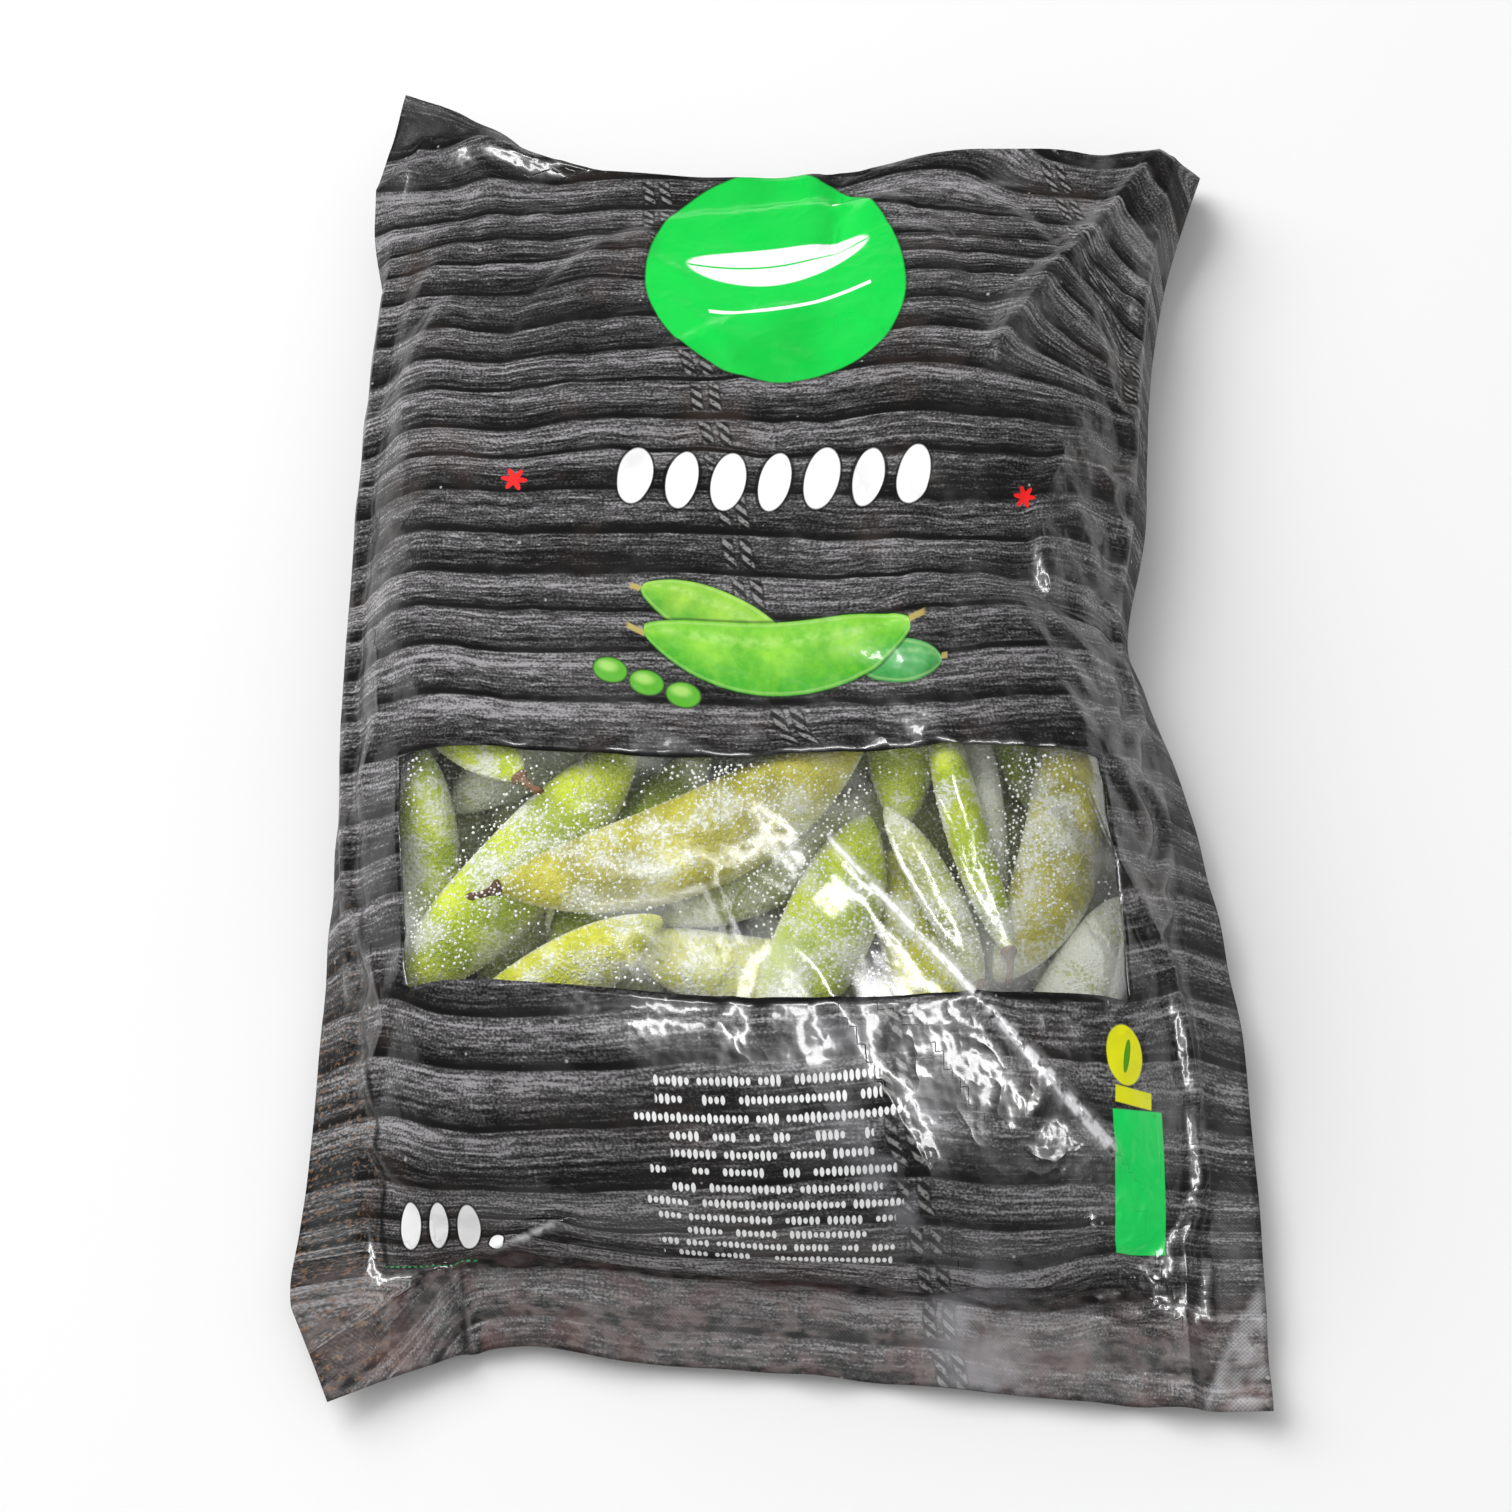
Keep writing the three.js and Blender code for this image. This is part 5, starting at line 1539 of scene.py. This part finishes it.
def frost_tree():
    """Scatters crystals of drawn sizes in patches over a surface."""
    tree = bpy.data.node_groups.new("frost_grains", "GeometryNodeTree")
    face = tree.interface
    face.new_socket("Surface", in_out="INPUT", socket_type="NodeSocketGeometry")
    for name in ("Grains per square metre", "Patch size", "Patch edge", "Smallest radius", "Largest radius"):
        face.new_socket(name, in_out="INPUT", socket_type="NodeSocketFloat")
    face.new_socket("Seed", in_out="INPUT", socket_type="NodeSocketInt")
    face.new_socket("Ice", in_out="INPUT", socket_type="NodeSocketMaterial")
    face.new_socket("Grains", in_out="OUTPUT", socket_type="NodeSocketGeometry")
    nodes = {
        name: tree.nodes.new(kind)
        for name, kind in (
            ("start", "NodeGroupInput"),
            ("patches", "ShaderNodeTexNoise"),
            ("cover", "ShaderNodeMapRange"),
            ("density", "ShaderNodeMath"),
            ("scatter", "GeometryNodeDistributePointsOnFaces"),
            ("size", "FunctionNodeRandomValue"),
            ("grain", "GeometryNodeMeshIcoSphere"),
            ("turn", "FunctionNodeRandomValue"),
            ("instances", "GeometryNodeInstanceOnPoints"),
            ("real", "GeometryNodeRealizeInstances"),
            ("ice", "GeometryNodeSetMaterial"),
            ("end", "NodeGroupOutput"),
        )
    }
    given = nodes["start"].outputs
    nodes["density"].operation = "MULTIPLY"
    nodes["turn"].data_type = "FLOAT_VECTOR"
    nodes["turn"].inputs[1].default_value = (FULL_TURN, FULL_TURN, FULL_TURN)
    nodes["patches"].inputs["Detail"].default_value = GRAIN_DETAIL
    nodes["grain"].inputs["Radius"].default_value = 1
    nodes["grain"].inputs["Subdivisions"].default_value = 1
    for source, target in (
        (given["Patch size"], nodes["patches"].inputs["Scale"]),
        (nodes["patches"].outputs[0], nodes["cover"].inputs["Value"]),
        (given["Patch edge"], nodes["cover"].inputs["From Min"]),
        (nodes["cover"].outputs[0], nodes["density"].inputs[0]),
        (given["Grains per square metre"], nodes["density"].inputs[1]),
        (given["Surface"], nodes["scatter"].inputs["Mesh"]),
        (nodes["density"].outputs[0], nodes["scatter"].inputs["Density"]),
        (given["Seed"], nodes["scatter"].inputs["Seed"]),
        (given["Smallest radius"], nodes["size"].inputs[2]),
        (given["Largest radius"], nodes["size"].inputs[3]),
        (given["Seed"], nodes["size"].inputs["Seed"]),
        (nodes["scatter"].outputs["Points"], nodes["instances"].inputs["Points"]),
        (nodes["grain"].outputs["Mesh"], nodes["instances"].inputs["Instance"]),
        (nodes["size"].outputs[1], nodes["instances"].inputs["Scale"]),
        (nodes["turn"].outputs[0], nodes["instances"].inputs["Rotation"]),
        (nodes["instances"].outputs[0], nodes["real"].inputs[0]),
        (nodes["real"].outputs[0], nodes["ice"].inputs["Geometry"]),
        (given["Ice"], nodes["ice"].inputs["Material"]),
        (nodes["ice"].outputs[0], nodes["end"].inputs[0]),
    ):
        tree.links.new(source, target)
    nodes["cover"].inputs["From Max"].default_value = FULL_COVER
    return tree


def frost_piece(name, faces, settings):
    """A plain mesh of the crystals scattered over some faces, given by their corners in metres."""
    carrier_mesh = bpy.data.meshes.new(name + "_carrier")
    corners = np.concatenate(faces)
    order = np.arange(len(corners)).reshape(-1, 3)
    carrier_mesh.from_pydata(corners.tolist(), [], order.tolist())
    carrier = bpy.data.objects.new(name + "_carrier", carrier_mesh)
    bpy.context.scene.collection.objects.link(carrier)
    scatter = carrier.modifiers.new("frost", "NODES")
    scatter.node_group = frost_grains
    for socket in frost_grains.interface.items_tree:
        if socket.name in settings:
            scatter[socket.identifier] = settings[socket.name]
    evaluated = carrier.evaluated_get(bpy.context.evaluated_depsgraph_get())
    mesh = bpy.data.meshes.new_from_object(evaluated)
    carrier.modifiers.remove(scatter)
    bpy.data.objects.remove(carrier)
    piece = bpy.data.objects.new(name, mesh)
    bpy.context.scene.collection.objects.link(piece)
    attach(piece, "root")
    return piece


def shown_faces(mesh, low, high):
    """Corners of a mesh's upward triangles that stand inside the window's opening."""
    mesh.calc_loop_triangles()
    order = np.empty(len(mesh.loop_triangles) * 3, int)
    mesh.loop_triangles.foreach_get("vertices", order)
    points = np.empty(len(mesh.vertices) * 3)
    mesh.vertices.foreach_get("co", points)
    corners = points.reshape(-1, 3)[order].reshape(-1, 3, 3)
    middle = corners.mean(axis=1)
    up = np.cross(corners[:, 1] - corners[:, 0], corners[:, 2] - corners[:, 0])
    up = up[:, 2] / np.maximum(np.linalg.norm(up, axis=1), 1e-12)
    kept = (up > STEEPEST_SHOWN) & (middle[:, :2] > low).all(axis=1) & (middle[:, :2] < high).all(axis=1)
    return corners[kept].reshape(-1, 3)


ice = bpy.data.materials.new("frost_ice")
ice.use_nodes = True
ice_shader = ice.node_tree.nodes["Principled BSDF"]
ice_shader.inputs["Base Color"].default_value = (0.95, 0.97, 0.95, 1)
ice_shader.inputs["Roughness"].default_value = 0.35
frost_grains = frost_tree()
rim = placed(front_film[cells_within(0).nonzero()])
opening_low, opening_high = rim.min(axis=0)[:2], rim.max(axis=0)[:2]
pod_faces = [shown_faces(piece.data, opening_low, opening_high) for piece in shown_pieces]
frost_piece("pod_frost", pod_faces, {
    "Grains per square metre": 2.2e6,
    "Patch size": 55.0,
    "Patch edge": 0.46,
    "Smallest radius": 0.00013,
    "Largest radius": 0.00034,
    "Seed": 5,
    "Ice": ice,
})
under = placed(front_film - grid_normals(front_film) * UNDER_FILM)
j, i = cells_within(-1.5).nonzero()
near_left, near_right = under[j, i], under[j, i + 1]
far_left, far_right = under[j + 1, i], under[j + 1, i + 1]
corners = np.stack([near_left, near_right, far_right, near_left, far_right, far_left], axis=1)
frost_piece("film_frost", [corners.reshape(-1, 3)], {
    "Grains per square metre": 1.8e6,
    "Patch size": 40.0,
    "Patch edge": 0.45,
    "Smallest radius": 0.00011,
    "Largest radius": 0.00034,
    "Seed": 11,
    "Ice": ice,
})

# ---- Table, light and camera ------------------------------------------------------------------------------
# A plain white table under soft light. The camera looks down on the lying bag from its bottom end.

TABLE_SIZE, TABLE_HEIGHT, TABLE_WHITE = 6, -0.0001, (0.86, 0.86, 0.86, 1)
bpy.ops.mesh.primitive_plane_add(size=TABLE_SIZE, location=(0, 0, TABLE_HEIGHT))
table_top = bpy.context.object
table_top.name = "table_top"
paper = bpy.data.materials.new("white_table")
paper.use_nodes = True
paper_shader = paper.node_tree.nodes["Principled BSDF"]
paper_shader.inputs["Base Color"].default_value = TABLE_WHITE
paper_shader.inputs["Roughness"].default_value = 0.8
table_top.data.materials.append(paper)

# The room is white, but its mirror image in gloss is dim, as under lamps in a dark studio.
ROOM_STRENGTH, ROOM_SEEN_IN_GLOSS = 0.5, 0.14
world = bpy.data.worlds.new("studio")
bpy.context.scene.world = world
world.use_nodes = True
world.node_tree.nodes["Background"].inputs["Color"].default_value = (1, 1, 1, 1)
ray = world.node_tree.nodes.new("ShaderNodeLightPath")
fill = world.node_tree.nodes.new("ShaderNodeMapRange")
fill.inputs["To Min"].default_value = ROOM_STRENGTH
fill.inputs["To Max"].default_value = ROOM_SEEN_IN_GLOSS
world.node_tree.links.new(ray.outputs["Is Glossy Ray"], fill.inputs["Value"])
world.node_tree.links.new(fill.outputs[0], world.node_tree.nodes["Background"].inputs["Strength"])


def soft_light(name, place, target, size, power, sheen_only=False):
    """An area light. One for the sheen alone is seen in gloss but adds nothing to the plain brightness."""
    lamp = bpy.data.lights.new(name, "AREA")
    lamp.shape = "RECTANGLE"
    lamp.size, lamp.size_y = size
    lamp.energy = power
    holder = bpy.data.objects.new(name, lamp)
    holder.location = place
    holder.rotation_euler = (Vector(target) - Vector(place)).to_track_quat("-Z", "Y").to_euler()
    holder.visible_diffuse = not sheen_only
    holder.visible_glossy = sheen_only
    bpy.context.scene.collection.objects.link(holder)


soft_light("lamp_sheen", (0.27, -0.3, 1.0), (0.02, -0.08, 0.02), (0.12, 1.3), 26, True)
soft_light("room_light", (-1.3, 0.9, 1.6), (0, 0, 0.02), (2.0, 2.0), 55)

CAMERA_TARGET = placed(np.array([0, 0, 15]))
CAMERA_ELEVATION, CAMERA_DISTANCE, SENSOR_WIDTH = 65, 0.6, 36
FOCAL_LENGTH, IMAGE_WIDTH = 3090, 1512  # both in pixels of the image
camera_data = bpy.data.cameras.new("camera")
camera = bpy.data.objects.new("camera", camera_data)
bpy.context.scene.collection.objects.link(camera)
elevation = np.radians(CAMERA_ELEVATION)
toward_camera = Vector((0, -np.cos(elevation), np.sin(elevation)))
camera.location = Vector(CAMERA_TARGET) + toward_camera * CAMERA_DISTANCE
camera.rotation_euler = (-toward_camera).to_track_quat("-Z", "Y").to_euler()
camera_data.sensor_width = SENSOR_WIDTH
camera_data.lens = SENSOR_WIDTH * FOCAL_LENGTH / IMAGE_WIDTH
camera_data.clip_start, camera_data.clip_end = 0.01, 20
bpy.context.scene.camera = camera
bpy.context.scene.view_settings.view_transform = "Standard"
